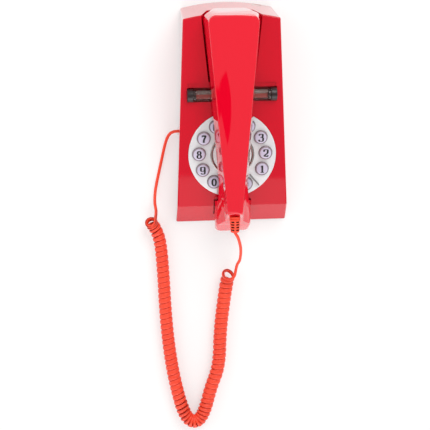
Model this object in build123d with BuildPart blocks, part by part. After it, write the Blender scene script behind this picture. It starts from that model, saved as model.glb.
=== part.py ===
"""A push-button desk telephone with a dial-style keypad, its handset resting in line over the keys.

The telephone lies on its feet: +Z is up, +Y is its rear, +X its right, and the floor is Z = 0.
"""

import math
import os

from build123d import *

# General walls and clearances
wall = 2.5
fit_gap = 0.2
run_gap = 0.3
cut_extra = 1.0

# Body: the front and rear edges at the floor, the leaning walls and the sloping face
body_front_y = -105.6
body_rear_y = 109.0
body_front_half = 55.7
body_rear_half = 46.0
rear_arch = 5.6
front_lean = 35.03
rear_lean = 15.0
side_draft = 0.7
corner_radius = 1.6
edge_round = 1.4
face_front_z = 24.85
face_slope = 13.8
foot_height = 1.5
base_thickness = 2.5

# Channel for the earpiece, open at the rear
channel_front_y = 32.8
channel_length = 62.0
channel_front_half = 22.6
channel_rear_half = 29.0
channel_depth = 25.0
channel_flare = 16.7

# Notch for the mouthpiece, open at the front
notch_half = 18.5
notch_rear_y = -81.4
notch_floor_z = 12.3

# Dial plate and keys, measured on the face
dial_up_face = 52.6
dial_radius = 42.8
dial_thickness = 2.0
dial_sunk = 1.2
key_ring_radius = 32.5
key_radius = 6.6
key_flange = 1.0
key_flange_thickness = 1.2
key_rise = 2.6
key_dome = 1.6
key_travel = 2.0
key_start_angle = -26.8
key_step_angle = 29.2
key_names = ["1", "2", "3", "4", "5", "6", "7", "8", "9", "0", "star", "hash"]
centre_ring_radius = 21.5
centre_ring_width = 2.7
centre_ring_height = 1.0
centre_card_thickness = 0.5
stop_angle = -50.0
stop_inner_radius = 26.5
stop_outer_radius = 41.0
stop_width = 1.2
stop_height = 2.2

# Keypad behind the dial plate
mat_thickness = 1.4
mat_nub_radius = 3.0
mat_nub_height = 0.3
keypad_board_width = 87.0
keypad_board_front = 41.0
keypad_board_rear = 42.0
board_thickness = 1.6
keypad_post_x = 39.0
keypad_post_y = 37.0
keypad_post_radius = 3.2

# Number window, a clear tube across the face
window_up_face = 112.0
window_radius = 6.3
window_wall = 1.4
window_length = 86.0
window_cap_length = 5.5
window_spigot = 3.0
window_lift = 0.5
recess_margin_rear = 0.8
recess_margin_front = 0.4
ledge_margin = 5.2
ledge_depth = 0.7
ledge_end_inset = 1.0
card_drop = 2.6
card_thickness = 0.4

# Screws
screw_radius = 1.0
screw_head_radius = 2.2
screw_head_height = 1.3
screw_grip = 4.5
base_screw_radius = 1.2
base_screw_head_radius = 2.8
base_screw_head_height = 1.2
base_screw_length = 9.0
boss_radius = 4.0
front_boss_side_inset = 8.7
front_boss_inset = 20.4
rear_boss_side_inset = 9.5
rear_boss_inset = 30.2

# Feet and the keyholes in the base plate
foot_radius = 6.0
foot_seat = 0.8
front_foot_side_inset = 15.7
front_foot_inset = 36.4
rear_foot_side_inset = 12.0
rear_foot_inset = 14.2
keyhole_spacing = 60.0
keyhole_y = 44.8
keyhole_radius = 4.2
keyhole_slot_half = 2.3
keyhole_slot_length = 9.0

# Things on the base plate
board_half_x = 36.0
board_front_y = -67.2
board_length = 48.0
board_standoff = 4.0
standoff_radius = 3.0
standoff_inset = 4.0
ringer_x = 18.0
ringer_y = 10.8
ringer_radius = 15.0
ringer_height = 8.0
ringer_slot_length = 18.0
ringer_slot_width = 1.6
ringer_slot_pitch = 4.0
ringer_slots = 5
ballast_y = 70.8
ballast_x_size = 50.0
ballast_y_size = 34.0
ballast_height = 8.0

# Jacks and the cord's plug
jack_wall = 1.6
jack_depth = 14.0
handset_jack_y = -13.0
plug_width = 7.5
plug_height = 6.4
plug_length = 11.5
line_jack_x = 30.0
line_socket_width = 9.8
line_socket_height = 6.8
line_socket_depth = 12.0

# Hook switch under the channel
hook_y = 48.8
hook_radius = 3.0
hook_length = 16.0
hook_switch_x = 16.0
hook_switch_y = 14.0
hook_switch_height = 18.0

# Handset: a tapering beam, an earpiece cup at the rear and a mouthpiece block at the front
handset_wall = 2.0
ridge_front_y = -93.8
ridge_front_z = 61.0
ridge_front_half = 7.1
ridge_slope = 10.45
ridge_taper = 5.2
shoulder_rear_width = 0.6
shoulder_rear_drop = 4.0
shoulder_front_width = 2.4
shoulder_front_drop = 10.0
bridge_gap = 11.3
beam_rear_half = 28.0
beam_mid_half = 20.0
beam_neck_half = 14.4
beam_front_half = 17.0
beam_mid_y = 8.8
beam_neck_y = -64.0
beam_flare_y = -79.0
handset_rear_y = 91.0
handset_rear_lean = 14.0
handset_front_lean = 22.8
cup_front_gap = 4.5
cup_side_gap = 1.3
cup_neck = 6.0
cup_neck_inset = 3.0
block_side_gap = 1.2
block_rear_gap = 1.2
parting_rise = 6.0
receiver_y = 74.8
receiver_radius = 12.5
receiver_height = 8.0
ear_hole_radius = 1.1
ear_hole_ring = 7.0
microphone_y = -94.2
microphone_radius = 5.0
microphone_height = 6.0
mouth_hole_radius = 0.8
mouth_hole_pitch = 3.6
mouth_holes = 5
handset_post_radius = 3.4
handset_post_spots = [-1.2, -57.2]
handset_screw_sunk = 1.4
weight_y = -29.2
weight_x_size = 14.0
weight_y_size = 30.0
weight_height = 6.0

# Strain relief at the handset's lower end
relief_drop = 9.0
relief_root_radius = 5.2
relief_tip_radius = 4.2
relief_out = 14.5
relief_in = 9.0
relief_flange_radius = 5.8
relief_flange_length = 2.0
relief_slots = 4
relief_slot_pitch = 2.6
relief_slot_x = 2.3
relief_slot_width = 3.4
relief_slot_length = 1.3
relief_slot_depth = 1.2

# Cord: a curly cord laid on the floor between the handset and the left jack
cord_diameter = 3.0
straight_run = 7.5
plug_run = 5.4
coil_turns = 68
coil_outer_left = 12.8
coil_outer_right = 14.2
coil_lay_height = 7.4
bend_opening = 1.3
bend_reach = 22.0
end_opening = 0.9
end_reach = 14.0


def lean(angle):
    """Run per unit of rise of a wall that leans by this angle."""
    return math.tan(math.radians(angle))


side_taper = (body_front_half - body_rear_half) / (body_rear_y - body_front_y)
face_front_y = body_front_y + face_front_z * lean(front_lean)
base_top = foot_height + base_thickness


def face_z(y):
    """Height of the sloping face above the floor."""
    return face_front_z + (y - face_front_y) * lean(face_slope)


stock_top = face_z(body_rear_y + rear_arch) + 2 * wall
slope = math.radians(face_slope)
face_plane = Plane(
    origin=(0, face_front_y, face_front_z),
    x_dir=(1, 0, 0),
    z_dir=(0, -math.sin(slope), math.cos(slope)),
)


def level_with_face(rise):
    """The face's plane, moved straight up by rise."""
    return Plane(origin=(0, face_front_y, face_front_z + rise), x_dir=(1, 0, 0), z_dir=face_plane.z_dir)


def half_width(y, z):
    """Half the body's width at a height and a place along it."""
    return body_rear_half + (body_rear_y - y) * side_taper - z * lean(side_draft)


def rear_edge(x, z):
    """The arched rear wall's outer face."""
    arch_radius = (body_rear_half**2 + rear_arch**2) / (2 * rear_arch)
    chord_y = body_rear_y - z * lean(rear_lean)
    return chord_y + rear_arch - arch_radius + math.sqrt(arch_radius**2 - x**2)


def body_section(z, inset=0.0):
    """The body's outline at a height, drawn in by inset."""
    front = body_front_y + z * lean(front_lean)
    rear = body_rear_y - z * lean(rear_lean)
    front_half = half_width(front, z)
    rear_half = half_width(rear, z)
    with BuildSketch(Plane.XY.offset(z)) as section:
        with BuildLine():
            Polyline((-rear_half, rear), (-front_half, front), (front_half, front), (rear_half, rear))
            ThreePointArc((rear_half, rear), (0, rear + rear_arch), (-rear_half, rear))
        make_face()
        fillet(section.vertices(), corner_radius)
        if inset:
            offset(amount=-inset)
    return section.sketch


def cross_section(y, corners, inset=0.0):
    """A closed outline across the telephone at y, from the corners of its right half."""
    with BuildSketch(Plane.XZ.offset(-y)) as section:
        with BuildLine():
            Polyline(*corners, *[(-x, z) for x, z in reversed(corners)], close=True)
        make_face()
        if inset:
            offset(amount=-inset, kind=Kind.INTERSECTION)
    return section.sketch


def channel_half(y):
    """Half the channel's width where it meets the face."""
    spread = (channel_rear_half - channel_front_half) / channel_length
    return channel_front_half + (y - channel_front_y) * spread


def channel_section(y, grow=0.0):
    """The channel across the telephone, grown outwards by a wall."""
    half = channel_half(y) + grow
    above = 4 * wall
    floor_half = half - channel_depth * lean(channel_flare)
    top = (half + above * lean(channel_flare), face_z(y) + above)
    return cross_section(y, [top, (floor_half, face_z(y) - channel_depth - grow)])


past_rear_y = body_rear_y + rear_arch + wall
past_front_y = body_front_y - 2 * wall
keypad_post_places = [(x, dial_up_face + y) for x in (-keypad_post_x, keypad_post_x)
                      for y in (-keypad_post_y, keypad_post_y)]
front_boss_x = body_front_half - front_boss_side_inset
front_boss_y = body_front_y + front_boss_inset
rear_boss_x = body_rear_half - rear_boss_side_inset
rear_boss_y = body_rear_y - rear_boss_inset
boss_places = [(front_boss_x, front_boss_y), (rear_boss_x, rear_boss_y)]
boss_places += [(-x, y) for x, y in boss_places]
key_flange_radius = key_radius + key_flange
key_hole_radius = key_radius + run_gap
dial_opening_radius = key_ring_radius + key_flange_radius + 2 * run_gap
key_flange_top = dial_sunk + fit_gap / 2
key_flange_bottom = key_flange_top + key_flange_thickness
mat_nub_top = key_flange_bottom + key_travel + run_gap
mat_top = mat_nub_top + mat_nub_height
keypad_board_top = mat_top + mat_thickness
keypad_board_bottom = keypad_board_top + board_thickness
recess_depth = window_radius - window_lift + fit_gap / 2
recess_front = window_up_face - window_radius - recess_margin_front
recess_rear = window_up_face + window_radius + recess_margin_rear
recess_half = window_length / 2 + fit_gap
ledge_rear = window_up_face + window_radius + ledge_margin
socket_z = base_top + jack_wall + plug_height / 2 + fit_gap
line_socket_z = base_top + jack_wall + line_socket_height / 2
jack_face_x = -(half_width(handset_jack_y + plug_width, socket_z) - wall - fit_gap)
plug_face_x = -half_width(handset_jack_y, socket_z) + fit_gap
line_jack_half = line_socket_width / 2 + jack_wall
line_jack_height = line_socket_height + 2 * jack_wall
line_jack_rear_y = rear_edge(line_jack_x + line_jack_half, base_top + line_jack_height) - wall - fit_gap
channel_under = level_with_face(-channel_depth - wall)
pilot_radius = screw_radius + fit_gap / 4
base_pilot_radius = base_screw_radius + fit_gap / 4


def notch_outline(grow=0.0):
    """The mouthpiece notch seen from above."""
    with BuildSketch(Plane.XY.offset(notch_floor_z - grow)) as outline:
        with BuildLine():
            Polyline(
                (notch_half + grow, past_front_y),
                (notch_half + grow, notch_rear_y + grow),
                (-notch_half - grow, notch_rear_y + grow),
                (-notch_half - grow, past_front_y),
                close=True,
            )
        make_face()
    return outline.sketch


def recess_outline(grow=0.0):
    """The number window's recess on the face."""
    with BuildSketch(face_plane) as outline:
        with Locations((0, (recess_front + recess_rear) / 2)):
            Rectangle(2 * (recess_half + grow), recess_rear - recess_front + 2 * grow)
    return outline.sketch


# Solid body, its hollow, and the walls of the pockets let into it
with BuildPart() as body_stock:
    loft(sections=[body_section(foot_height), body_section(stock_top)])
    split(bisect_by=face_plane, keep=Keep.BOTTOM)
    face = body_stock.faces().sort_by(Axis((0, 0, 0), face_plane.z_dir))[-1]
    fillet(face.edges(), edge_round)

with BuildPart() as hollow:
    loft(sections=[body_section(foot_height - cut_extra, wall), body_section(stock_top, wall)])
    split(bisect_by=face_plane.offset(-wall), keep=Keep.BOTTOM)

with BuildPart() as pocket_walls:
    loft(sections=[channel_section(channel_front_y - wall, wall), channel_section(past_rear_y, wall)])
    extrude(notch_outline(wall), amount=face_front_z)
    extrude(recess_outline(wall), amount=-recess_depth - wall)
    with BuildSketch(Plane.XY.offset(base_top)):
        with Locations(*boss_places):
            Circle(boss_radius)
    extrude(amount=stock_top)
    with BuildSketch(face_plane.offset(-keypad_board_top)):
        with Locations(*keypad_post_places):
            Circle(keypad_post_radius)
    extrude(amount=keypad_board_top)
    add(body_stock.part, mode=Mode.INTERSECT)

with BuildPart() as top_housing:
    add(body_stock.part)
    add(hollow.part, mode=Mode.SUBTRACT)
    add(pocket_walls.part)
    channel_ends = [channel_section(channel_front_y), channel_section(past_rear_y)]
    loft(sections=channel_ends, mode=Mode.SUBTRACT)
    extrude(notch_outline(), amount=face_front_z, mode=Mode.SUBTRACT)
    extrude(recess_outline(), amount=-recess_depth, mode=Mode.SUBTRACT)
    extrude(recess_outline(), amount=cut_extra, mode=Mode.SUBTRACT)
    with BuildSketch(face_plane):
        with Locations((0, (window_up_face + ledge_rear) / 2)):
            Rectangle(2 * (recess_half - ledge_end_inset), ledge_rear - window_up_face)
    extrude(amount=-ledge_depth, mode=Mode.SUBTRACT)
    with BuildSketch(face_plane):
        with Locations((0, dial_up_face)):
            Circle(dial_radius + fit_gap)
    extrude(amount=-dial_sunk, mode=Mode.SUBTRACT)
    with BuildSketch(face_plane):
        with Locations((0, dial_up_face)):
            Circle(dial_opening_radius)
    extrude(amount=-wall - cut_extra, mode=Mode.SUBTRACT)
    with BuildSketch(Plane.XY.offset(base_top)):
        with Locations(*boss_places):
            Circle(base_pilot_radius)
    extrude(amount=base_screw_length, mode=Mode.SUBTRACT)
    with BuildSketch(face_plane.offset(-keypad_board_top)):
        with Locations(*keypad_post_places):
            Circle(pilot_radius)
    extrude(amount=screw_grip, mode=Mode.SUBTRACT)
    with Locations((plug_face_x, handset_jack_y, socket_z)):
        Box(4 * wall, plug_width + 2 * fit_gap, plug_height + 2 * fit_gap, mode=Mode.SUBTRACT)
    with Locations((line_jack_x, line_jack_rear_y, line_socket_z)):
        Box(line_socket_width, 6 * wall, line_socket_height, mode=Mode.SUBTRACT)
    with Locations((0, hook_y, face_z(hook_y) - channel_depth)):
        Cylinder(hook_radius + run_gap, 4 * wall, mode=Mode.SUBTRACT)

# Base plate with its standoffs, screw holes, foot seats, ringer slots and keyholes
board_screw_places = [
    (x, y)
    for x in (-board_half_x + standoff_inset, board_half_x - standoff_inset)
    for y in (board_front_y + standoff_inset, board_front_y + board_length - standoff_inset)
]
foot_places = [
    (body_front_half - front_foot_side_inset, body_front_y + front_foot_inset),
    (body_rear_half - rear_foot_side_inset, body_rear_y - rear_foot_inset),
]
foot_places += [(-x, y) for x, y in foot_places]
base_inset = wall + fit_gap

with BuildPart() as base_plate:
    loft(sections=[body_section(foot_height, base_inset), body_section(base_top, base_inset)])
    with BuildSketch(Plane.XY.offset(base_top)):
        with Locations(*board_screw_places):
            Circle(standoff_radius)
    extrude(amount=board_standoff)
    with BuildSketch(Plane.XY.offset(base_top + board_standoff)):
        with Locations(*board_screw_places):
            Circle(pilot_radius)
    extrude(amount=-screw_grip, mode=Mode.SUBTRACT)
    with BuildSketch(Plane.XY.offset(foot_height)):
        with Locations(*boss_places):
            Circle(base_screw_radius + fit_gap)
    extrude(amount=base_thickness, mode=Mode.SUBTRACT)
    with BuildSketch(Plane.XY.offset(foot_height)):
        with Locations(*boss_places):
            Circle(base_screw_head_radius + fit_gap)
    extrude(amount=base_screw_head_height, mode=Mode.SUBTRACT)
    with BuildSketch(Plane.XY.offset(foot_height)):
        with Locations(*foot_places):
            Circle(foot_radius + fit_gap / 2)
    extrude(amount=foot_seat, mode=Mode.SUBTRACT)
    with BuildSketch(Plane.XY.offset(foot_height)):
        with Locations((ringer_x, ringer_y)):
            with GridLocations(0, ringer_slot_pitch, 1, ringer_slots):
                SlotOverall(ringer_slot_length, ringer_slot_width)
        with Locations((-keyhole_spacing / 2, keyhole_y), (keyhole_spacing / 2, keyhole_y)):
            Circle(keyhole_radius)
            with Locations((0, keyhole_slot_length / 2)):
                Rectangle(2 * keyhole_slot_half, keyhole_slot_length)
            with Locations((0, keyhole_slot_length)):
                Circle(keyhole_slot_half)
    extrude(amount=base_thickness, mode=Mode.SUBTRACT)

with BuildPart() as rubber_feet:
    with BuildSketch():
        with Locations(*foot_places):
            Circle(foot_radius)
    extrude(amount=foot_height + foot_seat)

with BuildPart() as base_screws:
    with BuildSketch(Plane.XY.offset(foot_height)):
        with Locations(*boss_places):
            Circle(base_screw_head_radius)
    extrude(amount=base_screw_head_height)
    with BuildSketch(Plane.XY.offset(foot_height)):
        with Locations(*boss_places):
            Circle(base_screw_radius)
    extrude(amount=base_screw_length)

# Dial plate with its centre, finger stop and keys
dial_plane = Plane(
    origin=face_plane.from_local_coords((0, dial_up_face, 0)), x_dir=(1, 0, 0), z_dir=face_plane.z_dir
)
plate_top = dial_thickness - dial_sunk
key_angles = [key_start_angle + key_step_angle * number for number in range(len(key_names))]
key_places = [Vector(key_ring_radius, 0).rotate(Axis.Z, angle) for angle in key_angles]

with BuildPart() as dial_plate:
    with BuildSketch(dial_plane.offset(-dial_sunk)):
        Circle(dial_radius)
        with Locations(*key_places):
            Circle(key_hole_radius, mode=Mode.SUBTRACT)
    extrude(amount=dial_thickness)
    rim = dial_plate.faces().sort_by(Axis((0, 0, 0), dial_plane.z_dir))[-1].outer_wire()
    chamfer(rim.edges(), plate_top / 2)

with BuildPart() as centre_ring:
    with BuildSketch(dial_plane.offset(plate_top)):
        Circle(centre_ring_radius)
        Circle(centre_ring_radius - centre_ring_width, mode=Mode.SUBTRACT)
    extrude(amount=centre_ring_height)

with BuildPart() as centre_card:
    with BuildSketch(dial_plane.offset(plate_top)):
        Circle(centre_ring_radius - centre_ring_width - fit_gap)
    extrude(amount=centre_card_thickness)

with BuildPart() as finger_stop:
    with BuildSketch(dial_plane.offset(plate_top)):
        with PolarLocations((stop_inner_radius + stop_outer_radius) / 2, 1, stop_angle):
            SlotOverall(stop_outer_radius - stop_inner_radius, stop_width)
    extrude(amount=stop_height)


def make_key(place):
    """One domed key with the flange that keeps it under the dial plate."""
    key_plane = Plane(
        origin=dial_plane.from_local_coords(place), x_dir=(1, 0, 0), z_dir=dial_plane.z_dir
    )
    with BuildPart() as key:
        with BuildSketch(key_plane.offset(-key_flange_bottom)):
            Circle(key_radius)
        extrude(amount=key_flange_bottom + plate_top + key_rise)
        top = key.faces().sort_by(Axis((0, 0, 0), key_plane.z_dir))[-1]
        fillet(top.edges(), key_dome)
        with BuildSketch(key_plane.offset(-key_flange_bottom)):
            Circle(key_flange_radius)
        extrude(amount=key_flange_thickness)
    return key.part


keys = {f"button_{name}": make_key(place) for name, place in zip(key_names, key_places)}

with BuildPart() as keypad_mat:
    with BuildSketch(dial_plane.offset(-keypad_board_top)):
        Circle(dial_opening_radius - run_gap)
    extrude(amount=mat_thickness)
    with BuildSketch(dial_plane.offset(-mat_top)):
        with Locations(*key_places):
            Circle(mat_nub_radius)
    extrude(amount=mat_nub_height)

keypad_screw_places = [(x, y - dial_up_face) for x, y in keypad_post_places]

with BuildPart() as keypad_board:
    with BuildSketch(dial_plane.offset(-keypad_board_bottom)):
        with Locations((0, (keypad_board_rear - keypad_board_front) / 2)):
            Rectangle(keypad_board_width, keypad_board_front + keypad_board_rear)
        with Locations(*keypad_screw_places):
            Circle(screw_radius + fit_gap, mode=Mode.SUBTRACT)
    extrude(amount=board_thickness)

with BuildPart() as keypad_screws:
    with BuildSketch(dial_plane.offset(-keypad_board_bottom)):
        with Locations(*keypad_screw_places):
            Circle(screw_head_radius)
    extrude(amount=-screw_head_height)
    with BuildSketch(dial_plane.offset(-keypad_board_bottom)):
        with Locations(*keypad_screw_places):
            Circle(screw_radius)
    extrude(amount=screw_grip)

# Number window: a clear tube between two end caps, with a blank card inside
window_axis = Plane(
    origin=face_plane.from_local_coords((0, window_up_face, window_lift)),
    x_dir=face_plane.z_dir,
    z_dir=(1, 0, 0),
)
tube_half = window_length / 2 - window_cap_length
bore_radius = window_radius - window_wall

with BuildPart() as number_window:
    with BuildSketch(window_axis):
        Circle(window_radius)
        Circle(bore_radius, mode=Mode.SUBTRACT)
    extrude(amount=tube_half, both=True)

with BuildPart() as window_caps:
    for side in (1, -1):
        with BuildSketch(window_axis.offset(side * tube_half)):
            Circle(window_radius)
        extrude(amount=side * window_cap_length)
        with BuildSketch(window_axis.offset(side * tube_half)):
            Circle(bore_radius - fit_gap / 2)
        extrude(amount=-side * window_spigot)

with BuildPart() as number_card:
    card_half = math.sqrt((bore_radius - fit_gap / 2) ** 2 - card_drop**2)
    with BuildSketch(window_axis):
        with Locations((-card_drop + card_thickness / 2, 0)):
            Rectangle(card_thickness, 2 * card_half)
    extrude(amount=tube_half - window_spigot - fit_gap, both=True)

# Main board, ringer and ballast on the base plate
with BuildPart() as main_board:
    with BuildSketch(Plane.XY.offset(base_top + board_standoff)):
        with Locations((0, board_front_y + board_length / 2)):
            Rectangle(2 * board_half_x, board_length)
        with Locations(*board_screw_places):
            Circle(screw_radius + fit_gap, mode=Mode.SUBTRACT)
    extrude(amount=board_thickness)

board_top = base_top + board_standoff + board_thickness

with BuildPart() as board_screws:
    with BuildSketch(Plane.XY.offset(board_top)):
        with Locations(*board_screw_places):
            Circle(screw_head_radius)
    extrude(amount=screw_head_height)
    with BuildSketch(Plane.XY.offset(board_top)):
        with Locations(*board_screw_places):
            Circle(screw_radius)
    extrude(amount=-screw_grip)

with BuildPart() as ringer:
    with BuildSketch(Plane.XY.offset(base_top)):
        with Locations((ringer_x, ringer_y)):
            Circle(ringer_radius)
            Circle(ringer_radius - wall, mode=Mode.SUBTRACT)
    extrude(amount=ringer_height)
    with BuildSketch(Plane.XY.offset(base_top + ringer_height)):
        with Locations((ringer_x, ringer_y)):
            Circle(ringer_radius)
    extrude(amount=-wall)

with BuildPart() as ballast_weight:
    with BuildSketch(Plane.XY.offset(base_top)):
        with Locations((0, ballast_y)):
            RectangleRounded(ballast_x_size, ballast_y_size, wall)
    extrude(amount=ballast_height)

# Jacks: the handset's cord plugs in on the left, the line cord at the rear
jack_width = plug_width + 2 * (fit_gap + jack_wall)
jack_height = plug_height + 2 * (fit_gap + jack_wall)
jack_align = (Align.MIN, Align.CENTER, Align.MIN)
socket_align = (Align.MIN, Align.CENTER, Align.CENTER)

with BuildPart() as handset_jack:
    with Locations((jack_face_x, handset_jack_y, base_top)):
        Box(jack_depth, jack_width, jack_height, align=jack_align)
    with Locations((jack_face_x, handset_jack_y, socket_z)):
        Box(
            plug_face_x + plug_length - jack_face_x + fit_gap,
            plug_width + 2 * fit_gap,
            plug_height + 2 * fit_gap,
            align=socket_align,
            mode=Mode.SUBTRACT,
        )

with BuildPart() as cord_plug:
    with Locations((plug_face_x, handset_jack_y, socket_z)):
        Box(plug_length, plug_width, plug_height, align=socket_align)

line_jack_align = (Align.CENTER, Align.MAX, Align.MIN)

with BuildPart() as line_jack:
    with Locations((line_jack_x, line_jack_rear_y, base_top)):
        Box(
            2 * line_jack_half,
            line_socket_depth + jack_wall,
            line_jack_height,
            align=line_jack_align,
        )
    with Locations((line_jack_x, line_jack_rear_y, base_top + jack_wall)):
        Box(
            line_socket_width,
            line_socket_depth,
            line_socket_height,
            align=line_jack_align,
            mode=Mode.SUBTRACT,
        )

# Hook switch below the channel's floor, and the plunger that the earpiece holds down
cup_rise = -channel_depth + run_gap
hook_top_z = face_z(hook_y) + cup_rise - run_gap
switch_bottom_z = face_z(hook_y) - channel_depth - wall - hook_switch_height

with BuildPart() as hook_switch:
    with BuildSketch(Plane.XY.offset(switch_bottom_z)):
        with Locations((0, hook_y)):
            Rectangle(hook_switch_x, hook_switch_y)
    extrude(amount=2 * hook_switch_height)
    split(bisect_by=channel_under, keep=Keep.BOTTOM)
    with BuildSketch(Plane.XY.offset(hook_top_z - hook_length - run_gap)):
        with Locations((0, hook_y)):
            Circle(hook_radius + run_gap)
    extrude(amount=2 * hook_length, mode=Mode.SUBTRACT)

with BuildPart() as hook_plunger:
    with BuildSketch(Plane.XY.offset(hook_top_z)):
        with Locations((0, hook_y)):
            Circle(hook_radius)
    extrude(amount=-hook_length)
    fillet(hook_plunger.faces().sort_by(Axis.Z)[-1].edges(), hook_radius - run_gap)


# Handset, in cross sections along its length
def ridge_z(y):
    """Height of the handset's upper face."""
    return ridge_front_z + (y - ridge_front_y) * lean(ridge_slope)


def ridge_half(y):
    """Half the width of the handset's upper face."""
    return ridge_front_half + (y - ridge_front_y) * lean(ridge_taper)


def shoulder_size(y):
    """How far the shoulder stands out and drops: steady behind the neck, growing in front of it."""
    share = max(0.0, (beam_neck_y - y) / (beam_neck_y - ridge_front_y))
    width = shoulder_rear_width + (shoulder_front_width - shoulder_rear_width) * share
    return width, shoulder_rear_drop + (shoulder_front_drop - shoulder_rear_drop) * share


def beam_section(y, under_half, inset=0.0):
    """The beam: a flat ridge, sloping shoulders and flared sides."""
    width, drop = shoulder_size(y)
    ridge = (ridge_half(y), ridge_z(y))
    shoulder = (ridge_half(y) + width, ridge_z(y) - drop)
    return cross_section(y, [ridge, shoulder, (under_half, face_z(y) + bridge_gap)], inset)


def beam_half(y):
    """Half the width of the beam's underside behind its middle."""
    spread = (beam_rear_half - beam_mid_half) / (past_rear_y - beam_mid_y)
    return beam_mid_half + (y - beam_mid_y) * spread


def cup_section(y, inset=0.0):
    """The earpiece cup: inside the channel's walls, and up into the beam."""
    neck = (beam_half(y) - cup_neck_inset, face_z(y) + bridge_gap + cup_neck)
    belly = (channel_half(y) - cup_side_gap, face_z(y))
    floor_half = belly[0] - channel_depth * lean(channel_flare)
    corners = [neck, (beam_half(y), face_z(y) + bridge_gap), belly, (floor_half, face_z(y) + cup_rise)]
    return cross_section(y, corners, inset)


def block_section(y, inset=0.0):
    """The mouthpiece block: straight sides down into the notch, and up into the beam."""
    half = notch_half - block_side_gap
    neck_z = face_z(y) + bridge_gap
    corners = [(half - cup_neck_inset, neck_z + cup_neck), (half, neck_z), (half, notch_floor_z + run_gap)]
    return cross_section(y, corners, inset)


def handset_solid(inset=0.0):
    """The whole handset, drawn in by inset from every side."""
    cup_front_y = channel_front_y + cup_front_gap + inset
    block_rear_y = notch_rear_y - block_rear_gap - inset
    rear_tilt = math.radians(handset_rear_lean)
    front_tilt = math.radians(handset_front_lean)
    rear_normal = Vector(0, math.cos(rear_tilt), math.sin(rear_tilt))
    front_normal = Vector(0, -math.cos(front_tilt), math.sin(front_tilt))
    rear_end = Plane(Vector(0, handset_rear_y, ridge_z(handset_rear_y)) - rear_normal * inset, z_dir=rear_normal)
    front_end = Plane(Vector(0, ridge_front_y, ridge_front_z) - front_normal * inset, z_dir=front_normal)
    past_block_y = ridge_front_y - ridge_front_z * lean(handset_front_lean)
    with BuildPart() as solid:
        loft(
            sections=[
                beam_section(past_rear_y, beam_rear_half, inset),
                beam_section(beam_mid_y, beam_mid_half, inset),
                beam_section(beam_neck_y, beam_neck_half, inset),
                beam_section(beam_flare_y, beam_front_half, inset),
                beam_section(past_block_y, beam_front_half, inset),
            ],
            ruled=True,
        )
        loft(sections=[cup_section(cup_front_y, inset), cup_section(past_rear_y, inset)], ruled=True)
        loft(sections=[block_section(block_rear_y, inset), block_section(past_block_y, inset)], ruled=True)
        split(bisect_by=rear_end, keep=Keep.BOTTOM)
        split(bisect_by=front_end, keep=Keep.BOTTOM)
    return solid.part


parting = level_with_face(bridge_gap + parting_rise)
relief_tilt = math.radians(ridge_slope)
relief_out_dir = Vector(0, -math.cos(relief_tilt), -math.sin(relief_tilt))
relief_exit = Vector(
    0, ridge_front_y - relief_drop * lean(handset_front_lean), ridge_front_z - relief_drop
)
relief_plane = Plane(origin=relief_exit, x_dir=(1, 0, 0), z_dir=relief_out_dir)
handset_posts = [(0, y) for y in handset_post_spots]

with BuildPart() as handset_shell:
    add(handset_solid())
    add(handset_solid(handset_wall), mode=Mode.SUBTRACT)

with BuildPart() as handset_post_stock:
    with BuildSketch():
        with Locations(*handset_posts):
            Circle(handset_post_radius)
    extrude(amount=2 * stock_top)
    add(handset_solid(), mode=Mode.INTERSECT)

with BuildPart() as handset_cover:
    add(handset_shell.part)
    add(handset_post_stock.part)
    split(bisect_by=parting, keep=Keep.TOP)
    with BuildSketch(relief_plane.offset(-relief_in)):
        Circle(relief_root_radius + fit_gap)
    extrude(amount=2 * relief_in, mode=Mode.SUBTRACT)
    for x, y in handset_posts:
        with BuildSketch(Plane.XY.offset(face_z(y) + bridge_gap)):
            with Locations((x, y)):
                Circle(pilot_radius)
        extrude(amount=parting_rise + 2 * screw_grip, mode=Mode.SUBTRACT)

with BuildPart() as handset_inner:
    add(handset_shell.part)
    add(handset_post_stock.part)
    split(bisect_by=parting, keep=Keep.BOTTOM)
    for x, y in handset_posts:
        underside_z = face_z(y) + bridge_gap
        with BuildSketch(Plane.XY.offset(underside_z - wall)):
            with Locations((x, y)):
                Circle(screw_radius + fit_gap)
        extrude(amount=parting_rise + 2 * wall, mode=Mode.SUBTRACT)
        with BuildSketch(Plane.XY.offset(underside_z + handset_screw_sunk + screw_head_height)):
            with Locations((x, y)):
                Circle(screw_head_radius + fit_gap)
        extrude(amount=-2 * wall - screw_head_height, mode=Mode.SUBTRACT)
    with BuildSketch(Plane.XY.offset(face_z(receiver_y) - channel_depth - 2 * wall)):
        with Locations((0, receiver_y)):
            Circle(ear_hole_radius)
            with PolarLocations(ear_hole_ring, 6):
                Circle(ear_hole_radius)
    extrude(amount=4 * wall, mode=Mode.SUBTRACT)
    with BuildSketch(Plane.XY.offset(notch_floor_z)):
        with Locations((0, microphone_y)):
            with GridLocations(mouth_hole_pitch, 0, mouth_holes, 1):
                Circle(mouth_hole_radius)
    extrude(amount=2 * wall, mode=Mode.SUBTRACT)

with BuildPart() as handset_screws:
    for x, y in handset_posts:
        head_z = face_z(y) + bridge_gap + handset_screw_sunk
        with BuildSketch(Plane.XY.offset(head_z)):
            with Locations((x, y)):
                Circle(screw_head_radius)
        extrude(amount=screw_head_height)
        with BuildSketch(Plane.XY.offset(head_z)):
            with Locations((x, y)):
                Circle(screw_radius)
        extrude(amount=parting_rise + screw_grip)


def on_inner_floor(y, rise):
    """A plane on an inner floor of the handset that lies level with the face."""
    return Plane(origin=(0, y, face_z(y) + rise + handset_wall), x_dir=(1, 0, 0), z_dir=face_plane.z_dir)


with BuildPart() as receiver_capsule:
    with BuildSketch(on_inner_floor(receiver_y, cup_rise)):
        Circle(receiver_radius)
    extrude(amount=receiver_height)

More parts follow.
